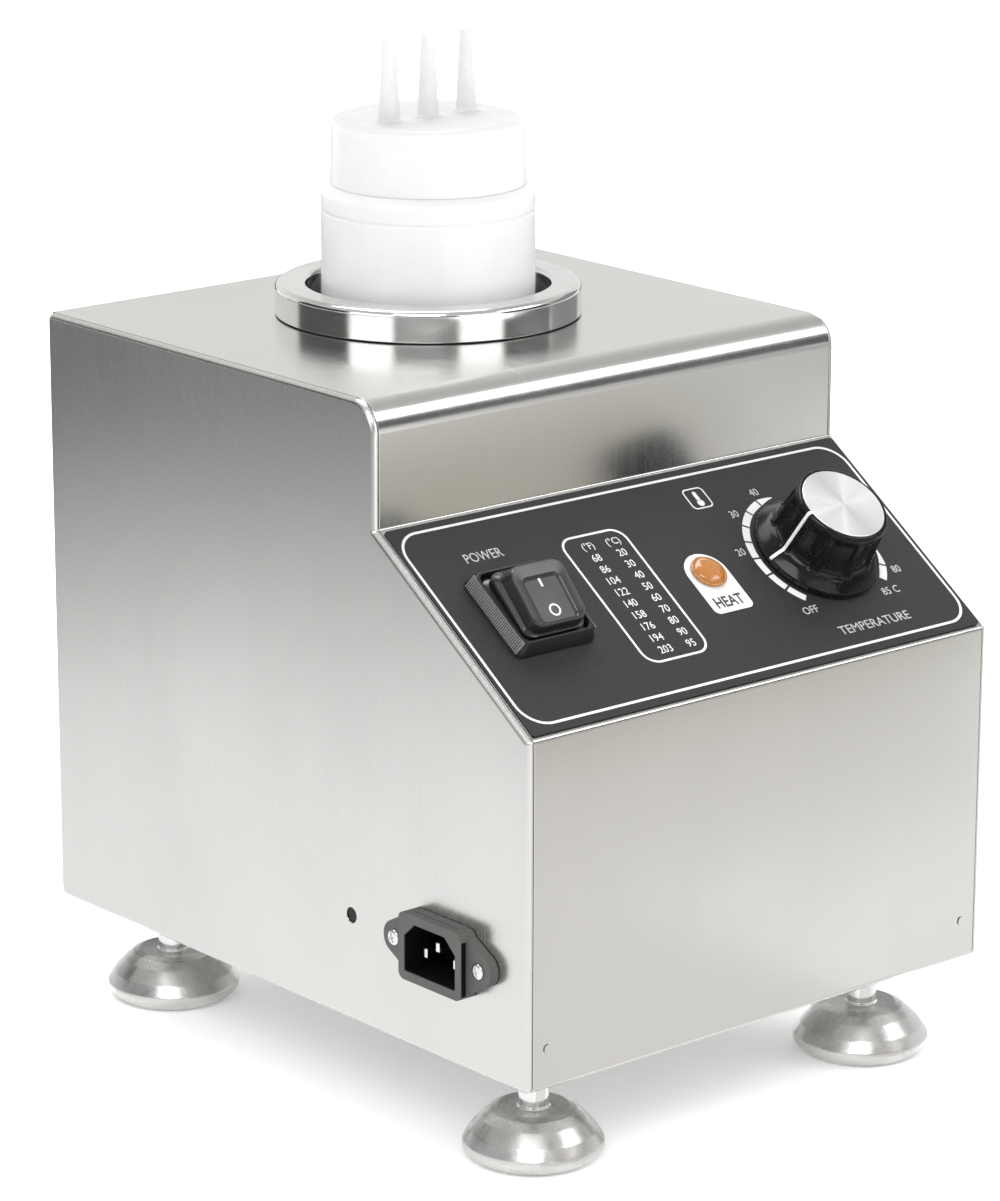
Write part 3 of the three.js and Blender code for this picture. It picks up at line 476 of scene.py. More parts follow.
def build_materials():
    """Every finish by its plain name, without the number that Blender adds to a name in use."""
    sides = (60, 2600, 14)
    across = (2600, 40, 14)
    steel = (0.74, 0.735, 0.72)
    # Painted highlight grey for the speckle on the bezel's ribs.
    rib_highlight_grey = (0.2, 0.2, 0.2)
    made = (
        brushed("brushed_steel", steel, 0.27, sides),
        brushed("cover_steel", steel, 0.22, across),
        brushed("plain_steel", (0.66, 0.66, 0.65), 0.34, across, 0.12),
        polished("polished_steel", (0.82, 0.82, 0.81), 0.1),
        polished("bright_chrome", (0.86, 0.86, 0.86), 0.12),
        cast_chrome("foot_chrome"),
        polished("zinc_steel", (0.72, 0.72, 0.70), 0.28),
        polished("copper", (0.72, 0.42, 0.25), 0.3, 0.12),
        polished("brass", (0.76, 0.61, 0.32), 0.28, 0.1),
        film("overlay_film"),
        plastic("black_plastic", (0.009, 0.009, 0.010), 0.34, gloss=0.45),
        plastic("knob_plastic", (0.006, 0.006, 0.007), 0.15, 0.006, 500.0, (0.16, 0.16, 0.17), 0.22),
        plastic("inlet_plastic", (0.10, 0.098, 0.094), 0.6, 0.12, 1100.0, (0.2, 0.2, 0.19), 0.3),
        # Near-black for the painted shade in the inlet's recess and rim pocket.
        plastic("painted_shade_black", (0.003, 0.003, 0.004), 0.6, 0.02, gloss=0.12),
        plastic("boot_rubber", (0.011, 0.011, 0.012), 0.26, 0.02, 900.0, (0.06, 0.06, 0.06), 0.8),
        lens("orange_lens"),
        # The ribs' light grey is a painted highlight standing in for the sheen on the black bezel's fluted sides.
        plastic("ribbed_plastic_painted_highlight", (0.21, 0.21, 0.214), 0.5, dust=rib_highlight_grey, gloss=0.4),
        faced("spun_aluminium"),
        plastic("white_plastic", (0.84, 0.84, 0.82), 0.45, 0.01),
        plastic("white_ink", (0.74, 0.75, 0.76), 0.5, 0.004),
        plastic("grey_ink", (0.5, 0.505, 0.51), 0.5, 0.004),
        plastic("dark_ink", (0.05, 0.05, 0.055), 0.5, 0.004),
        # The last number of each milky finish is the painted shade on its upward faces.
        milky("translucent_bottle", (0.74, 0.742, 0.74), 0.34, 0.85),
        milky("milky_cap", (0.70, 0.702, 0.70), 0.36, 0.68),
        milky("milky_nozzle", (0.65, 0.652, 0.65), 0.3, 0.8),
        brushed("mica", (0.5, 0.46, 0.4), 0.5, across, 0.2),
        felt("insulation", (0.85, 0.83, 0.77)),
        plastic("black_rubber", (0.02, 0.02, 0.02), 0.75, 0.08, 700.0),
        plastic("brown_wire", (0.2, 0.09, 0.04), 0.45),
        plastic("blue_wire", (0.04, 0.1, 0.3), 0.45),
        plastic("earth_wire", (0.25, 0.4, 0.05), 0.45),
        plastic("white_wire", (0.8, 0.8, 0.78), 0.45),
    )
    return {material.name.split(".")[0]: material for material in made}


# ---- Mesh building, in millimetres ----


def skin(rings, loop=False, capped=True):
    """Points and faces through rings of equal count; a loop joins the last ring to the first."""
    count = len(rings[0])
    points = [point for ring in rings for point in ring]
    pairs = [(k, k + 1) for k in range(len(rings) - 1)]
    if loop:
        pairs.append((len(rings) - 1, 0))
    faces = []
    for a, b in pairs:
        for i in range(count):
            j = (i + 1) % count
            faces.append((a * count + i, a * count + j, b * count + j, b * count + i))
    if capped and not loop:
        last = (len(rings) - 1) * count
        faces.append(tuple(reversed(range(count))))
        faces.append(tuple(last + i for i in range(count)))
    return points, faces


def turned(profile, steps=96, loop=False):
    """A lathe skin about Z; profile points are (radius, height)."""
    angles = [FULL * i / steps for i in range(steps)]
    rings = [[(r * math.cos(a), r * math.sin(a), z) for a in angles] for r, z in profile]
    return skin(rings, loop, capped=False)


def prism(outline, z0, z1):
    return skin([[(x, y, z) for x, y in outline] for z in (z0, z1)])


def moved(part, matrix):
    points, faces = part
    return [tuple(matrix @ Vector(p)) for p in points], faces


def shifted(part, x=0.0, y=0.0, z=0.0):
    return moved(part, Matrix.Translation((x, y, z)))


def filleted(corners, closed=True, steps=6):
    """A path through corners given as (x, y) or (x, y, fillet radius)."""
    points = []
    count = len(corners)
    for i, corner in enumerate(corners):
        here = Vector(corner[:2])
        radius = corner[2] if len(corner) > 2 else 0
        if radius <= 0 or (not closed and i in (0, count - 1)):
            points.append(tuple(here))
            continue
        before = (Vector(corners[i - 1][:2]) - here).normalized()
        after = (Vector(corners[(i + 1) % count][:2]) - here).normalized()
        half = before.angle(after) / 2
        centre = here + (before + after).normalized() * radius / math.sin(half)
        start = here + before * radius / math.tan(half) - centre
        end = here + after * radius / math.tan(half) - centre
        first = math.atan2(start.y, start.x)
        sweep = (math.atan2(end.y, end.x) - first + math.pi) % FULL - math.pi
        for k in range(steps + 1):
            angle = first + sweep * k / steps
            points.append((centre.x + radius * math.cos(angle), centre.y + radius * math.sin(angle)))
    return points


def rectangle(width, height, radius, x=0.0, y=0.0, steps=6):
    corners = [(-1, -1), (1, -1), (1, 1), (-1, 1)]
    return filleted([(x + i * width / 2, y + j * height / 2, radius) for i, j in corners], steps=steps)


def circle(radius, x=0.0, y=0.0, steps=48, first=0.0, sweep=FULL):
    whole = abs(sweep - FULL) < 1e-9
    count = steps if whole else steps + 1
    angles = [first + sweep * i / steps for i in range(count)]
    return [(x + radius * math.cos(a), y + radius * math.sin(a)) for a in angles]


def quarter(steps):
    return [math.pi / 2 * k / steps for k in range(steps + 1)]


def block(x, y, z):
    return prism([(x[0], y[0]), (x[1], y[0]), (x[1], y[1]), (x[0], y[1])], z[0], z[1])


def frame_band(outer, inner, z0, z1):
    """A flat closed band between two outlines of equal count."""
    lines = ((outer, z0), (outer, z1), (inner, z1), (inner, z0))
    return skin([[(x, y, z) for x, y in line] for line, z in lines], loop=True)


def mesh_object(name, *parts):
    """One object from closed parts, each (points, faces), with normals turned outwards."""
    mesh = bpy.data.meshes.new(name)
    bm = bmesh.new()
    for points, faces in parts:
        made = [bm.verts.new(Vector(p) * MM) for p in points]
        for face in faces:
            bm.faces.new([made[i] for i in face])
    bmesh.ops.remove_doubles(bm, verts=bm.verts, dist=1e-6)
    bmesh.ops.dissolve_degenerate(bm, edges=bm.edges, dist=1e-7)
    bmesh.ops.recalc_face_normals(bm, faces=bm.faces)
    bm.to_mesh(mesh)
    bm.free()
    return add(name, mesh)


def lathe(name, corners, steps, fillets=6, loop=False):
    """One turned piece from the corners of its section."""
    return mesh_object(name, turned(filleted(corners, loop, fillets), steps, loop))


def evaluated_mesh(obj):
    depsgraph = bpy.context.evaluated_depsgraph_get()
    depsgraph.update()
    return bpy.data.meshes.new_from_object(obj.evaluated_get(depsgraph))


def combine(obj, operation, tools):
    """Applies a boolean with each tool and removes the tools."""
    for tool in tools:
        modifier = obj.modifiers.new("combine", "BOOLEAN")
        modifier.operation = operation
        modifier.solver = "EXACT"
        modifier.object = tool
    result = evaluated_mesh(obj)
    obj.modifiers.clear()
    obj.data = result
    for tool in tools:
        bpy.data.objects.remove(tool)


def cut(obj, *parts):
    """Subtracts closed parts from an object."""
    combine(obj, "DIFFERENCE", [mesh_object("cutter", *parts)])


def soften(obj, width, segments=2, angle=30):
    """Rounds the sharp edges of a piece."""
    bevel = obj.modifiers.new("edge", "BEVEL")
    bevel.limit_method = "ANGLE"
    bevel.angle_limit = math.radians(angle)
    bevel.width = width * MM
    bevel.segments = segments
    bevel.use_clamp_overlap = True
    return obj


def shade(obj, angle=40):
    obj.data.shade_smooth()
    obj.data.set_sharp_from_angle(angle=math.radians(angle))
    normals = obj.modifiers.new("normals", "WEIGHTED_NORMAL")
    normals.keep_sharp = True
    normals.weight = 60
    return obj


def fit(obj, place, material, body, *nodes, slot=None):
    """Puts a piece in its place with its finish, and lets it stand for CAD nodes."""
    obj.matrix_world = place
    obj.data.materials.clear()
    obj.data.materials.append(MATERIALS[material])
    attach(obj, body)
    if nodes:
        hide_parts(*nodes)
    return obj


# ---- Housing ----

SHEET = 1.0
GAP = 0.3
EDGE_ROUND = 2.0
TOP_BEND = 10.0
SLOPE_BEND = 1.6
CORNER_BEND = 2.4
FLANGE = 12.0
WELL_HOLE_R = 41


def slope_height(y, inset):
    return SLOPE_LOW + y * SLOPE_TAN - inset / NORMAL.z


def housing_corners(inset):
    """The side outline's corners as (y, z, bend radius), moved inwards by inset."""
    bend, corner = (max(radius - inset, 0.25) for radius in (SLOPE_BEND, CORNER_BEND))
    return [
        (inset, LOW + inset, corner),
        (DEPTH - inset, LOW + inset, corner),
        (DEPTH - inset, TOP - inset, corner),
        (RISER + inset, TOP - inset, TOP_BEND - inset),
        (RISER + inset, slope_height(RISER + inset, inset), 0.6 + inset),
        (inset, slope_height(inset, inset), bend),
    ]


def side_ring(inset, x):
    return [(x, y, z) for y, z in filleted(housing_corners(inset), steps=10)]


def side_panel(side):
    """A tray with rounded edges and an inner flange, mirrored for the right side."""
    edge = HALF - EDGE_ROUND
    outer, inner = [], []
    for angle in quarter(6):
        outer.append(side_ring(EDGE_ROUND * (1 - math.cos(angle)), -edge - EDGE_ROUND * math.sin(angle)))
        inner.append(side_ring(EDGE_ROUND - SHEET * math.cos(angle), -edge - SHEET * math.sin(angle)))
    tray = skin(outer[::-1] + inner)
    flange = [(SHEET + GAP, -HALF + SHEET), (SHEET + GAP, -HALF + FLANGE)]
    flange += [(2 * SHEET + GAP, -HALF + FLANGE), (2 * SHEET + GAP, -HALF + SHEET)]
    band = skin([side_ring(inset, x) for inset, x in flange], loop=True)
    mirror = Matrix.Scale(-side, 4, X_AXIS)
    return [moved(tray, mirror), moved(band, mirror)]


RIVET_X = HALF - 8
RIVET_Z = LOW + 13.5


def housing_side(name, side, cutters):
    tray, band = side_panel(side)
    panel = mesh_object(name, tray)
    if cutters:
        cut(panel, *cutters)
    flange = mesh_object(name + "_flange", band)
    fit(shade(soften(panel, 0.2, 2, 50), 30), HOUSING, "brushed_steel", "housing", name)
    fit(shade(flange, 30), HOUSING, "brushed_steel", "housing")


def in_housing(place):
    """The matrix that takes a local frame's millimetres to the housing's."""
    return Matrix.Scale(1 / MM, 4) @ HOUSING.inverted() @ place @ Matrix.Scale(MM, 4)


def build_sides():
    screws = [circle(SCREW_HOLE_R, side * INLET_SCREW_X, 0, 24) for side in (-1, 1)]
    holes = [rectangle(27.6, 20.2, 1), *screws, circle(2.5, -45.8, -0.7, 40)]
    inlet = in_housing(INLET)
    housing_side("left_side_panel", -1, [moved(prism(hole, -3, 2), inlet) for hole in holes])
    housing_side("right_side_panel", 1, [])


def panel_openings(low, high):
    """Cutters for the switch, the lamp and the knob's shaft."""
    outlines = (rectangle(25.2, 27.2, 1, SWITCH_X, SWITCH_S), circle(5, LAMP_X, LAMP_S),
                circle(4.9, KNOB_X, KNOB_S))
    return [prism(outline, low, high) for outline in outlines]


def build_cover():
    """Top, riser, slope and front, folded from one sheet."""
    def path(inset):
        rear_low, rear_high = (FLANGE, LOW + inset), (DEPTH, TOP - inset)
        corners = housing_corners(inset)
        folds = [rear_high, corners[3], corners[4], corners[5], corners[0], rear_low]
        return filleted(folds, closed=False, steps=14)

    section = path(0) + path(SHEET)[::-1]
    edge = HALF - EDGE_ROUND - GAP
    sheet = skin([[(x, y, z) for y, z in section] for x in (-edge, edge)])
    cover = mesh_object("top_front_cover", sheet)
    well = (HOUSING.inverted() @ WELL).translation / MM
    well_hole = shifted(prism(circle(WELL_HOLE_R, steps=96), -5, 5), well.x, well.y, TOP)
    cut(cover, well_hole, *[moved(part, in_housing(PANEL)) for part in panel_openings(-5, 5)])
    shade(soften(cover, 0.15, 2, 60), 30)
    fit(cover, HOUSING, "cover_steel", "housing", "top_front_cover", slot="brushed_steel")


CORNERS = ("front_left", "front_right", "rear_left", "rear_right")
FEET = {name: middle("foot_stud_" + name) for name in CORNERS}
BOSS_R = 6.45


def build_base():
    """The floor of the housing, with vents and a threaded boss for each foot."""
    inset = 2 * SHEET + 2 * GAP
    low = LOW + inset
    edge = HALF - SHEET - 2 * GAP
    plate = mesh_object("base_plate", block((-edge, edge), (inset, DEPTH - inset), (low, low + 1.5)))
    vents = [prism(rectangle(4, 60, 1.9, -36 + 12 * i, 120), low - 1, low + 3) for i in range(7)]
    places = [(HOUSING.inverted() @ Vector((at.x, at.y, 0))) / MM for at in FEET.values()]
    bores = [shifted(prism(circle(BOSS_R - 0.2), low - 1, low + 3), at.x, at.y) for at in places]
    cut(plate, *vents, *bores)
    boss = [
        (5.3, LOW - 6.4), (5.9, LOW - 7), (BOSS_R - 0.5, LOW - 7), (BOSS_R, LOW - 6.5),
        (BOSS_R, low + 7), (BOSS_R - 0.5, low + 7.5), (5.3, low + 7.5),
    ]
    threaded = turned(boss, 64, loop=True)
    bosses = mesh_object("foot_bosses", *[shifted(threaded, at.x, at.y) for at in places])
    fit(shade(soften(plate, 0.15)), HOUSING, "plain_steel", "housing", "base_plate")
    fit(shade(soften(bosses, 0.12)), HOUSING, "bright_chrome", "housing", slot="plain_steel")


def domed_head(name, radius, low, high, recess=None):
    """A pan head about Z, its crown rounded, with an optional cross recess."""
    rise = high - low
    profile = [(0, low), (radius, low)]
    profile += [(radius * math.cos(a), low + rise * (0.35 + 0.65 * math.sin(a))) for a in quarter(8)]
    profile[-1] = (0, high)
    head = mesh_object(name, turned(profile, 48))
    if recess:
        length, width, depth = recess
        for a, b in ((length / 2, width / 2), (width / 2, length / 2)):
            cut(head, block((-a, a), (-b, b), (high - depth, high + 1)))
    return head


def build_rivets():
    facing = Matrix.Rotation(math.pi / 2, 4, "X")
    for node, side in (("front_rivet_left", -1), ("front_rivet_right", 1)):
        rivet = shade(soften(domed_head(node, 1.5, GAP, 0.25), 0.08))
        at = HOUSING @ Matrix.Translation((side * RIVET_X * MM, 0, RIVET_Z * MM)) @ facing
        fit(rivet, at, "cover_steel", "housing", node, slot="brushed_steel")


def build_back_screws():
    for number in range(1, 5):
        node = f"back_screw_{number}"
        centre = middle(node)
        screw = shade(soften(domed_head(node, 3.2, GAP, 2.4, (3.6, 0.8, 1.2)), 0.06))
        rear = HOUSING.translation.y + DEPTH * MM
        at = Matrix.Translation((centre.x, rear, centre.z)) @ Matrix.Rotation(-math.pi / 2, 4, "X")
        fit(screw, at, "zinc_steel", "housing", node)


# ---- Heated well and bottle ----

CUP_R = 40.4
WELL_R = 39.5
WELL_DEPTH = 132.0
COLLAR_R = 50.3
COLLAR_TOP = 10.7


def build_collar():
    inner = CUP_R - 0.4
    section = [
        (inner, 1.5), (COLLAR_R - 0.35, 1.5), (COLLAR_R - 0.35, 0.45), (COLLAR_R, 0.45, 0.15),
        (COLLAR_R, COLLAR_TOP, 2.2), (inner, COLLAR_TOP, 1.6),
    ]
    collar = lathe("well_collar", section, 160, 8, True)
    fit(shade(collar, 50), WELL, "polished_steel", "housing", "well_collar")


def build_cup():
    section = [
        (0, -WELL_DEPTH - 0.9), (CUP_R, -WELL_DEPTH - 0.9, 5), (CUP_R, GAP), (48.4, GAP), (48.4, GAP + 0.9),
        (WELL_R, GAP + 0.9), (WELL_R, -WELL_DEPTH, 4.1), (0, -WELL_DEPTH),
    ]
    fit(shade(lathe("well_cup", section, 128)), WELL, "plain_steel", "housing", "well_cup")


BOTTLE_R = 35.0
NECK_R = 28.5
SHOULDER = 39.8
NECK_LOW = 43.2
NECK_HIGH = 58.2
CAP_TOP = 65.0
NOZZLE_TIP = 92.0
NOZZLE_SPACING = 16.2


def build_bottle():
    base = -WELL_DEPTH + GAP
    wall = 1.2
    outside = [
        (0, base + 2.2), (BOTTLE_R - 9, base + 2, 3), (BOTTLE_R - 6, base, 1.5), (BOTTLE_R, base, 4),
        (BOTTLE_R, 34.2, 1), (BOTTLE_R - 0.25, 34.6, 0.5), (BOTTLE_R - 0.25, 35.1, 0.5),
        (BOTTLE_R, 35.5, 1), (BOTTLE_R, SHOULDER + 1.2, 2.6), (BOTTLE_R - 2.6, NECK_LOW, 1),
        (NECK_R, NECK_LOW, 0.5), (NECK_R, NECK_HIGH, 0.5),
    ]
    inside = [
        (NECK_R - wall, NECK_HIGH, 0.4), (NECK_R - wall, NECK_LOW - wall, 0.6),
        (BOTTLE_R - 3.2, NECK_LOW - wall, 1.5), (BOTTLE_R - wall, SHOULDER, 1.5),
        (BOTTLE_R - wall, base + wall + 1, 3), (0, base + wall + 2.2),
    ]
    bottle = lathe("bottle_body", outside + inside, 128, 5)
    fit(shade(bottle, 50), WELL, "translucent_bottle", "bottle", "bottle_body")


def build_cap():
    low = NECK_LOW + 0.03
    outside = [
        (29.2, low), (32, low), (31.4, CAP_TOP, 2.6), (25.5, CAP_TOP, 0.4),
        (25.1, CAP_TOP - 0.3, 0.3), (0, CAP_TOP - 0.3),
    ]
    inside = [(0, CAP_TOP - 1.8), (23.5, CAP_TOP - 1.8), (23.5, NECK_HIGH + 1.8), (29.2, NECK_HIGH + 1.8)]
    shell = turned(filleted(outside, closed=False, steps=5) + inside, 144, loop=True)
    nozzle = filleted([
        (2.2, CAP_TOP - 1), (4.6, CAP_TOP - 1), (4.6, CAP_TOP - 0.1, 0.3), (3.5, CAP_TOP + 0.3, 0.9),
        (2.2, NOZZLE_TIP, 1.0), (0.9, NOZZLE_TIP, 0.2),
    ], closed=True, steps=4)
    cap = mesh_object("bottle_cap", shell)
    row = [shifted(turned(nozzle, 48, loop=True), i * NOZZLE_SPACING) for i in (-1, 0, 1)]
    nozzles = mesh_object("cap_nozzles", *row)
    fit(shade(nozzles, 50), WELL, "milky_nozzle", "cap", slot="translucent_bottle")
    fit(shade(cap, 50), WELL, "milky_cap", "cap", "bottle_cap", slot="translucent_bottle")


# ---- Controls ----

SWITCH_X, SWITCH_S = -65.5, 45.3
LAMP_X, LAMP_S = 8.1, 44.5
SWITCH = PANEL @ Matrix.Translation((SWITCH_X * MM, SWITCH_S * MM, 0))
ROCKER_TILT = math.radians(13)
ROCKER_PIVOT = 1.0
INK_LOW, INK_HIGH = 0.66, 0.76


def build_overlay():
    low, high = 1.6, SLOPE_LENGTH - 1.6
    outline = rectangle(2 * (HALF - EDGE_ROUND - 0.4), high - low, 1.5, 0, (low + high) / 2)
    overlay = mesh_object("control_overlay", prism(outline, GAP, GAP + 0.4))
    screws = [prism(circle(3.9, KNOB_X, KNOB_S + 14 * side), -1, 2) for side in (-1, 1)]
    cut(overlay, *panel_openings(-1, 2), *screws)
    fit(shade(soften(overlay, 0.1)), PANEL, "overlay_film", "housing", "control_overlay")


def lettering(text, x, s, height, width=None, weight=0.0):
    """Raised ink letters as one part, centred on (x, s), with a given cap height."""
    curve = bpy.data.curves.new("letters", "FONT")
    curve.body = text
    curve.size = 1.0
    curve.offset = weight
    curve.resolution_u = 3
    obj = add("letters", curve)
    flat = evaluated_mesh(obj)
    bpy.data.objects.remove(obj)
    xs = [v.co.x for v in flat.vertices]
    ys = [v.co.y for v in flat.vertices]
    scale_y = height / (max(ys) - min(ys))
    scale_x = width / (max(xs) - min(xs)) if width else scale_y * 0.9
    mid_x, mid_y = (max(xs) + min(xs)) / 2, (max(ys) + min(ys)) / 2
    points = [(x + (px - mid_x) * scale_x, s + (py - mid_y) * scale_y) for px, py in zip(xs, ys)]
    return raised([(points, [tuple(p.vertices) for p in flat.polygons])])


def raised(flats):
    """Closed prisms from flat meshes given as (points, faces)."""
    bm = bmesh.new()
    for points, faces in flats:
        made = [bm.verts.new((x, y, INK_LOW)) for x, y in points]
        for face in faces:
            bm.faces.new([made[i] for i in face])
    bmesh.ops.remove_doubles(bm, verts=bm.verts, dist=1e-4)
    lifted = bmesh.ops.extrude_face_region(bm, geom=bm.faces[:])
    moving = [item for item in lifted["geom"] if isinstance(item, bmesh.types.BMVert)]
    bmesh.ops.translate(bm, verts=moving, vec=(0, 0, INK_HIGH - INK_LOW))
    bm.verts.index_update()
    part = [tuple(v.co) for v in bm.verts], [tuple(v.index for v in f.verts) for f in bm.faces]
    bm.free()
    return part


def ink_line(width, height, radius, x, s, line):
    outer = rectangle(width + line, height + line, radius + line / 2, x, s, 10)
    inner = rectangle(width - line, height - line, radius - line / 2, x, s, 10)
    return frame_band(outer, inner, INK_LOW, INK_HIGH)


def on_dial(radius, degrees):
    """A place on the panel, from the knob's axis and clockwise from up the slope."""
    angle = math.radians(90 - degrees)
    return KNOB_X + radius * math.cos(angle), KNOB_S + radius * math.sin(angle)


def dial_segment(first, last, inner, outer, first_width=1.0, last_width=1.0):
    """One bar of the dial's arc, whose width may change along it."""
    steps = 6
    centre = (inner + outer) / 2
    rows = []
    for k in range(steps + 1):
        share = k / steps
        half = (outer - inner) / 2 * (first_width + (last_width - first_width) * share)
        degrees = first + (last - first) * share
        rows.append([on_dial(radius, degrees) for radius in (centre - half, centre + half)])
    outline = [row[0] for row in rows] + [row[1] for row in reversed(rows)]
    return prism(outline, INK_LOW, INK_HIGH)


def table_rows():
    """The two columns that give the same temperatures in both scales."""
    fahrenheit = (68, 86, 104, 122, 140, 158, 176, 194, 203)
    celsius = (20, 30, 40, 50, 60, 70, 80, 90, 95)
    parts = [lettering("(°F)", -27.6, 64.3, 3.6), lettering("(°C)", -17.3, 64.2, 3.6)]
    for row, (left, right) in enumerate(zip(fahrenheit, celsius)):
        s = 59.6 - 4.86 * row
        parts.append(lettering(str(left), -27.5, s, 2.9))
        parts.append(lettering(str(right), -17.0, s, 2.9))
    return parts


def dial_bars():
    """The arc round the knob, left open where the knob hides it."""
    pitch = 270.3 / 16
    parts = []
    for k in range(16):
        first = -135.5 + pitch * k
        taper = {7: (1.0, 0.1), 14: (0.15, 1.0)}.get(k, (1.0, 1.0))
        if k < 8 or k > 13:
            parts.append(dial_segment(first + 0.9, first + pitch - 0.9, 22.7, 25.3, *taper))
    return parts


def build_print():
    """The panel's line work, scales and words."""
    border = ink_line(186.2, 78.7, 9, 0, 44.05, 0.9)
    table = ink_line(25.7, 52.4, 5, -24.2, 42.8, 0.8)
    icon = ink_line(8.2, 8.2, 1.6, 25.5, 73.6, 0.5)
    stem = prism(rectangle(1.5, 4.2, 0.7, 25.5, 74.4), INK_LOW, INK_HIGH)
    bulb = prism(circle(1.35, 25.5, 71.6, 24), INK_LOW, INK_HIGH)
    lines = mesh_object("panel_lines", border, table, icon, stem, bulb, *table_rows(), *dial_bars())
    fit(lines, PANEL, "white_ink", "housing", slot="white_plastic")
    labels = (("OFF", -139, 28.6), ("20", -78, 28.6), ("30", -43, 28.6), ("40", -12, 28.2),
              ("50", 28, 25.4), ("60", 54, 26.4), ("70", 88, 26.6), ("80", 119, 28.8),
              ("85 C", 142, 27.2))
    words = [lettering(text, *on_dial(radius, degrees), 2.9) for text, degrees, radius in labels]
    words.append(lettering("POWER", -66.35, 69.8, 3.7, 14.7))
    words.append(lettering("TEMPERATURE", 55.1, 11.6, 3.4, 30.6))
    fit(mesh_object("panel_words", *words), PANEL, "grey_ink", "housing", slot="white_plastic")


def build_lamp():
    """The HEAT label, a white tab with dark letters, and the domed orange lens in it."""
    half, low = 8.15, 28.4
    left, right = LAMP_X - half, LAMP_X + half
    outline = filleted([(right, LAMP_S), (left, LAMP_S), (left, low, 2.2), (right, low, 2.2)])
    arch = circle(half, LAMP_X, LAMP_S, 32, 0, math.pi)
    outline = arch[:-1] + outline[1:]
    label = mesh_object("heat_label", prism(outline, 0.6, 0.74))
    cut(label, prism(circle(5, LAMP_X, LAMP_S), -1, 2))
    fit(label, PANEL, "white_ink", "housing", slot="white_plastic")
    words = mesh_object("heat_word", shifted(lettering("HEAT", LAMP_X, 32.6, 4.3, 11.5, 0.02), z=0.06))
    fit(words, PANEL, "dark_ink", "housing", slot="overlay_film")
    lamp = PANEL @ Matrix.Translation((LAMP_X * MM, LAMP_S * MM, 0))
    rim = filleted([(5.2, 0.9), (6.15, 0.9, 0.2), (6.15, 2.0, 0.35), (5.35, 2.0, 0.3), (5.2, 1.6)], steps=4)
    dome = [(0, -2), (4.7, -2), (4.7, 0.95), (5.45, 0.95), (5.45, 1.9)]
    dome += [(5.3 * math.cos(a), 1.9 + 1.5 * math.sin(a)) for a in quarter(10)[:-1]] + [(0, 3.4)]
    glass = mesh_object("pilot_lens", turned(dome, 64), turned(rim, 64, loop=True))
    fit(shade(glass, 50), lamp, "orange_lens", "housing", "pilot_lens")


def build_switch():
    """A sloping bezel with fine ribs down both sides, and the block behind the panel."""
    outer = [(31, 32, 2, 1.0), (31, 32, 2, 1.6), (30.2, 31.2, 2, 3.2), (28.6, 29.6, 2.4, 6.0),
             (28.0, 29.0, 2.4, 6.25)]
    inner = [(27.0, 28.0, 3, 6.25), (26.6, 27.6, 3, 5.9), (26.6, 27.6, 3, 2.2), (17, 22.5, 1, 2.2),
             (17, 22.5, 1, 1.0)]
    rings = [[(x, y, z) for x, y in rectangle(w, l, r)] for w, l, r, z in outer + inner]
    bezel = skin(rings, loop=True)
    block_shell = prism(rectangle(24.6, 26.6, 1), -26, -8)
    sleeve = frame_band(rectangle(24.6, 26.6, 1), rectangle(17, 22.5, 1), -8, 1.0)
    body = mesh_object("switch_body", bezel, block_shell, sleeve)
    fit(shade(soften(body, 0.1, 2, 50), 45), SWITCH, "black_plastic", "housing", "switch_body")
    ribs = []
    for side in (-1, 1):
        for k in range(36):
            s = -14 + 0.8 * k
            rows = []
            for half, z in ((15.5, 1.5), (15.1, 3.2), (14.32, 6.0)):
                root, crest = side * (half - 0.2), side * (half + 0.24)
                across = ((root, -0.4), (root, 0.4), (crest, 0.16), (crest, -0.16))
                rows.append([(x, s + offset, z) for x, offset in across])
            ribs.append(skin(rows))
    # The fluting's light grey finish is a painted highlight on the black bezel's ribs.
    fluting = mesh_object("switch_fluting", *ribs)
    fit(fluting, SWITCH, "ribbed_plastic_painted_highlight", "housing", slot="black_plastic")


def tilted_ring(width, length, radius, s, height, share):
    """A rounded rectangle at a height, turned about the rocker's pivot by a share of its tilt."""
    turn = Matrix.Rotation(share * ROCKER_TILT, 4, "X")
    outline = rectangle(width, length, radius, 0, s, steps=8)
    return [tuple(turn @ Vector((x, y, height - ROCKER_PIVOT)) + UP * ROCKER_PIVOT) for x, y in outline]


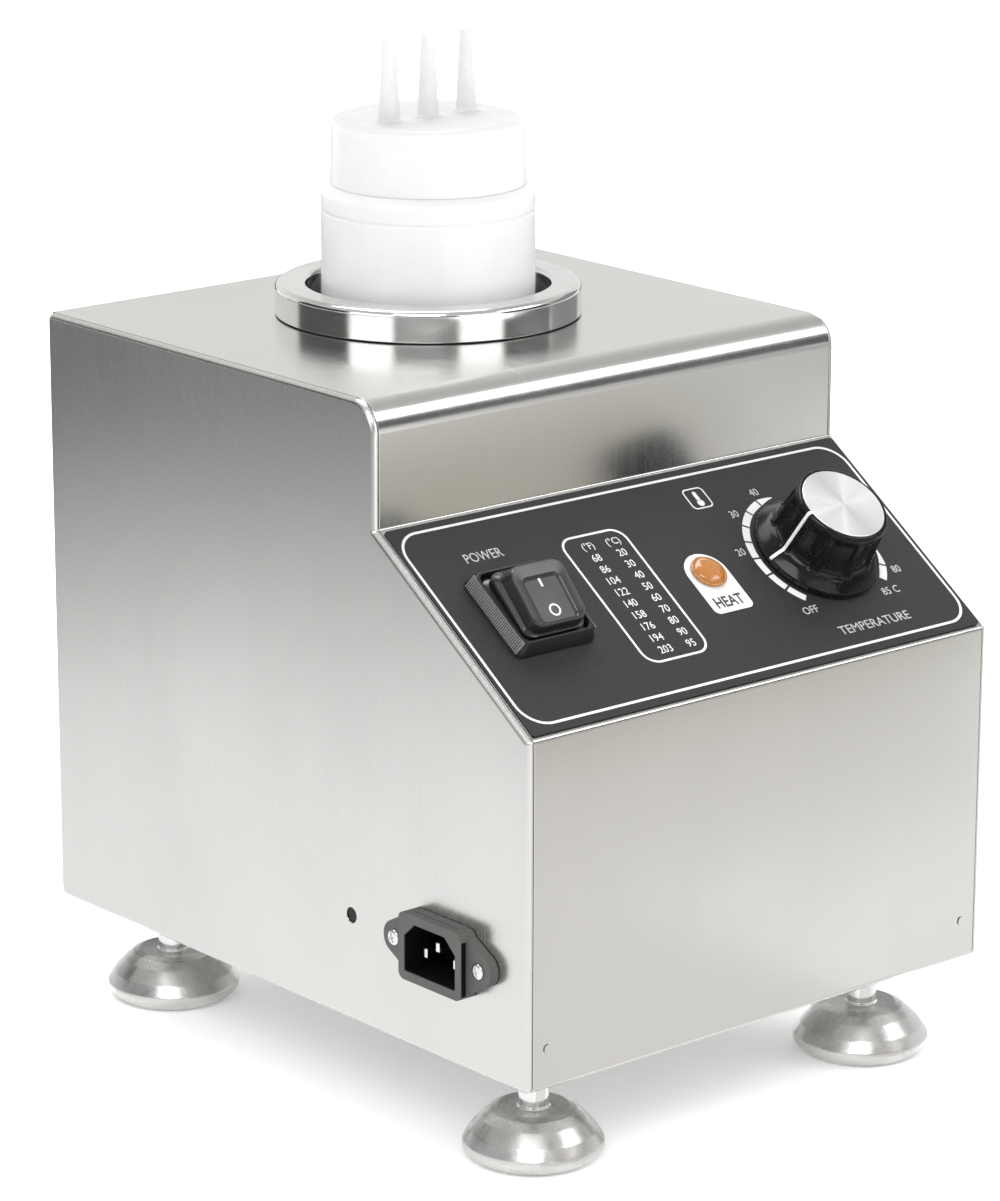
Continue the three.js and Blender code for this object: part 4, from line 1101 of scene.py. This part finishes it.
def build_boot():
    """The sealing boot: a flange, one bellows fold and a tilted box with a sunk window."""
    sections = [
        (26.4, 27.4, 3, 2.4, 0), (26.4, 27.4, 3, 3.4, 0), (25.8, 26.8, 3, 4.3, 0.08),
        (24.6, 25.6, 3, 4.6, 0.15), (22.8, 23.8, 3, 4.9, 0.25), (22.4, 23.3, 3, 5.7, 0.35),
        (23.4, 24.2, 3.2, 6.5, 0.45), (24.1, 24.8, 3.4, 7.1, 0.55), (23.6, 24.3, 3.4, 7.9, 0.65),
        (22.0, 22.7, 3.6, 8.5, 0.8), (21.6, 22.1, 3.8, 9.2, 0.9), (21.2, 21.6, 3.9, 12.4, 1),
        (20.9, 21.3, 3.9, 13.1, 1), (20.2, 20.6, 3.8, 13.5, 1), (19.4, 19.8, 3.6, 13.5, 1),
    ]
    window = [(15.0, 16.2, 2.2, 13.3, -1.6), (14.0, 15.2, 1.8, 13.0, -1.8), (13.4, 14.5, 1.4, 12.4, -2.0)]
    rings = [tilted_ring(*size, 0, height, share) for *size, height, share in sections]
    rings += [tilted_ring(*size, s, height, 1) for *size, height, s in window]
    boot = mesh_object("switch_boot", skin(rings))
    boot.matrix_world = SWITCH
    boot.data.materials.append(MATERIALS["boot_rubber"])
    shade(boot, 40)
    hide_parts("switch_boot")
    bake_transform(boot)
    marks = [prism(rectangle(0.85, 3.8, 0.3, -0.4, 4.4), 12.4, 12.55)]
    marks.append(frame_band(circle(2.1, -0.2, -5.7, 40), circle(1.5, -0.2, -5.7, 40), 12.4, 12.55))
    pivot = Matrix.Translation((0, 0, ROCKER_PIVOT))
    tilted = pivot @ Matrix.Rotation(ROCKER_TILT, 4, "X") @ pivot.inverted()
    symbols = mesh_object("switch_symbols", *[moved(mark, tilted) for mark in marks])
    fit(symbols, SWITCH, "white_ink", "rocker", slot="white_plastic")


FACETS = 9
POINTER = math.radians(90 + 92)


def knob_radius(angle, flat, depth):
    """Radius with narrow ribs every facet, the pointer on a rib, and flats that dip between them."""
    pitch = FULL / FACETS
    off = abs((angle - POINTER + pitch / 2) % pitch - pitch / 2)
    rib = math.radians(3.6)
    blend = min(max((off - rib) / math.radians(4.0), 0), 1)
    return flat - depth * blend * blend * (3 - 2 * blend)


def build_knob():
    steps = 360
    sections = [
        (17.9, 0, 3.2), (17.9, 0, 1.2), (21.2, 0, 1.2), (21.4, 0, 1.4), (21.4, 0, 3.0), (21.2, 0, 3.5),
        (18.9, 0, 5.3), (18.2, 0, 5.7), (17.6, 0.1, 6.0), (17.35, 0.5, 6.5), (17.2, 1.0, 7.2),
        (17.05, 1.15, 8.4), (16.1, 1.15, 17.2), (15.95, 1.0, 18.6), (15.85, 0.5, 19.4), (15.8, 0, 19.9),
        (15.75, 0, 21.3), (15.6, 0, 21.9), (15.2, 0, 22.35), (14.9, 0, 22.5), (14.55, 0, 22.5),
        (14.5, 0, 21.5),
    ]
    angles = [FULL * i / steps for i in range(steps)]
    rings = []
    for flat, depth, height in sections:
        radii = [knob_radius(a, flat, depth) for a in angles]
        rings.append([(r * math.cos(a), r * math.sin(a), height) for r, a in zip(radii, angles)])
    knob = mesh_object("control_knob", skin(rings))
    fit(shade(knob, 50), KNOB, "knob_plastic", "knob", "control_knob", slot="black_plastic")
    half = 0.55
    line = [(21.45, 3.0), (21.3, 3.55), (18.95, 5.35), (17.75, 6.0), (17.3, 7.0), (16.1, 19.0),
            (15.87, 20.6), (15.72, 21.95), (15.25, 22.43), (14.5, 22.62)]
    inner = [(r - 0.5, z - 0.25) for r, z in line]
    section = [(r + 0.06, z + 0.03) for r, z in line] + inner[::-1]
    along = [[(r, y, z) for r, z in section] for y in (-half, half)]
    pointer = mesh_object("knob_pointer", moved(skin(along), Matrix.Rotation(POINTER, 4, "Z")))
    fit(pointer, KNOB, "white_ink", "knob", slot="white_plastic")
    disc = lathe("knob_disc", [(0, 21.8), (14.2, 21.8, 0.1), (14.2, 22.7, 0.25), (0, 22.7)], 128, 4)
    fit(shade(disc), KNOB, "spun_aluminium", "knob", "knob_disc")


# ---- Power inlet ----

INLET_FLANGE = 3.6


def build_inlet():
    """The appliance inlet: ears with screws, a raised rim and a recess with three pins."""
    turn = math.radians(62)
    right = circle(5.4, INLET_SCREW_X, 0, 12, -turn, 2 * turn)
    left = circle(5.4, -INLET_SCREW_X, 0, 12, math.pi - turn, 2 * turn)
    flange = [(-10.8, -11.1), (10.8, -11.1), *right, (10.8, 11.1), (-10.8, 11.1), *left]
    body = mesh_object("inlet_housing", prism(flange, GAP, INLET_FLANGE))
    rim = mesh_object("rim", prism(rectangle(29.6, 21.8, 2.4), GAP, 6.4))
    shell = mesh_object("shell", prism(rectangle(26.8, 19.4, 1), -15, 2))
    recess = [(-12.2, -8, 0.6), (12.2, -8, 0.6), (12.2, 3.4, 0.4), (7.2, 8, 0.4), (-7.2, 8, 0.4),
              (-12.2, 3.4, 0.4)]
    hollow = prism(filleted(recess, steps=3), -9, 8)
    combine(body, "UNION", (rim, shell))
    cut(body, hollow)
    # Painted shade: a pocket cut in the rim's front side wall, filled below with a near-black block standing in
    # for the shade on that wall.
    shade_pocket = block((13.9, 15), (-9.6, 8.0), (3.75, 6.0))
    screws = [circle(SCREW_HOLE_R, side * INLET_SCREW_X, 0, 24) for side in (-1, 1)]
    cut(body, shade_pocket, *[prism(screw, -1, 5) for screw in screws])
    shade(soften(body, 0.3, 3), 35)
    fit(body, INLET, "inlet_plastic", "housing", "inlet_housing", slot="black_plastic")
    # Painted shade: the recess is lined with near-black, darker than the inlet's own plastic, standing in for the
    # shade inside it.
    wall = filleted([(x * 0.996, y * 0.995, r) for x, y, r in recess], steps=3)
    core = filleted([(x * 0.98, y * 0.97, r) for x, y, r in recess], steps=3)
    shade_lining = ((core, -8.7), (core, 6.0), (wall, 6.0), (wall, -8.95))
    rings = [[(x, y, z) for x, y in line] for line, z in shade_lining]
    slot = block((13.92, 14.2), (-9.5, 7.9), (3.8, 5.95))
    shade_liner = mesh_object("inlet_shade_liner", skin(rings), slot)
    fit(shade_liner, INLET, "painted_shade_black", "housing", slot="black_plastic")
    for name, (x, y), tip in (("live", (-7, -2), 2.2), ("neutral", (7, -2), 2.2), ("earth", (0, 2), 3.2)):
        node = "inlet_pin_" + name
        pin = shade(soften(mesh_object(node, prism(rectangle(1.8, 3.3, 0.4), -21, tip)), 0.45, 3))
        at = INLET @ Matrix.Translation((x * MM, y * MM, 0))
        fit(pin, at, "bright_chrome", "housing", node)
    for node, side in (("inlet_screw_front", 1), ("inlet_screw_rear", -1)):
        screw = shade(soften(domed_head(node, 2.5, INLET_FLANGE + GAP / 3, 4.9, (3.0, 0.7, 1.0)), 0.06))
        at = INLET @ Matrix.Translation((side * INLET_SCREW_X * MM, 0, 0)) @ Matrix.Rotation(0.35, 4, "Z")
        fit(screw, at, "bright_chrome", "housing", node)


# ---- Feet ----

BELL_TOP = 16.4


def build_feet():
    """Four levelling feet, each a plated bell with its stud and rubber pad."""
    bell = [
        (0, 4.1), (17.6, 4.1, 0.5), (17.6, 0.5, 0.3), (19.2, 0.5, 1.6), (22.3, 3.2, 2.6), (22.2, 5.6, 1.8),
        (19.9, 9.2, 3), (16.2, 13.2, 5), (13.4, 15.5, 1.5), (11.2, BELL_TOP, 1.5), (0, BELL_TOP - 0.3),
    ]
    stud = [
        (0, 7.3), (4.6, 7.3), (4.6, 15.2), (5.4, 15.4, 0.2), (5.4, 16.4, 0.4), (4.9, 17.0, 0.3),
        (4.9, 50.7, 0.5), (0, 50.7),
    ]
    pad = [(0, 0), (16.6, 0, 0.5), (17.2, 0.8, 0.3), (17.2, 3.8), (0, 3.8)]
    for name, centre in FEET.items():
        at = Matrix.Translation((centre.x, centre.y, 0))
        piece = lathe("foot_bell_" + name, bell, 112)
        fit(shade(piece, 50), at, "foot_chrome", "foot_" + name, "foot_bell_" + name, slot="bright_chrome")
        piece = lathe("foot_stud_" + name, stud, 56, 4)
        fit(shade(piece, 50), at, "bright_chrome", "stud_" + name, "foot_stud_" + name, slot="zinc_steel")
        piece = lathe("foot_pad_" + name, pad, 72, 4)
        fit(shade(piece), at, "black_rubber", "foot_" + name, "foot_pad_" + name)


# ---- CAD nodes that stay ----


def dress_frame():
    """Each CAD node gets its slot's finish, merged faces and slightly rounded edges."""
    slots = {part["node"]: part["material_slot"] for part in frame["record"]["subparts"]}
    for name, node in frame["nodes"].items():
        node.data.materials.clear()
        node.data.materials.append(MATERIALS[slots[name]])
        node.data.shade_smooth()
        weld = node.modifiers.new("weld", "WELD")
        weld.merge_threshold = 1e-5
        soften(node, 0.12, 2, 32)
        normals = node.modifiers.new("normals", "WEIGHTED_NORMAL")
        normals.weight = 60


bpy.context.scene.view_settings.view_transform = "Standard"
make_camera()
make_world()
make_floor()
side_cards()
screens()
area_light("key", (-1.7, -1.5, 2.1), (0, 0, 0.15), (1.6, 1.6), 44)
area_light("fill", (1.5, -1.6, 1.5), (0, 0, 0.15), (1.4, 1.4), 20)
area_light("top", (0.2, 0.9, 2.6), (0, 0, 0.1), (2.2, 1.2), 40)
area_light("back", (3.0, 3.4, 3.4), (3.0, 3.6, 0), (5.0, 5.0), 300, False)

MATERIALS = build_materials()
dress_frame()
build_sides()
build_cover()
build_base()
build_rivets()
build_back_screws()
build_collar()
build_cup()
build_bottle()
build_cap()
build_overlay()
build_print()
build_lamp()
build_switch()
build_boot()
build_knob()
build_inlet()
build_feet()
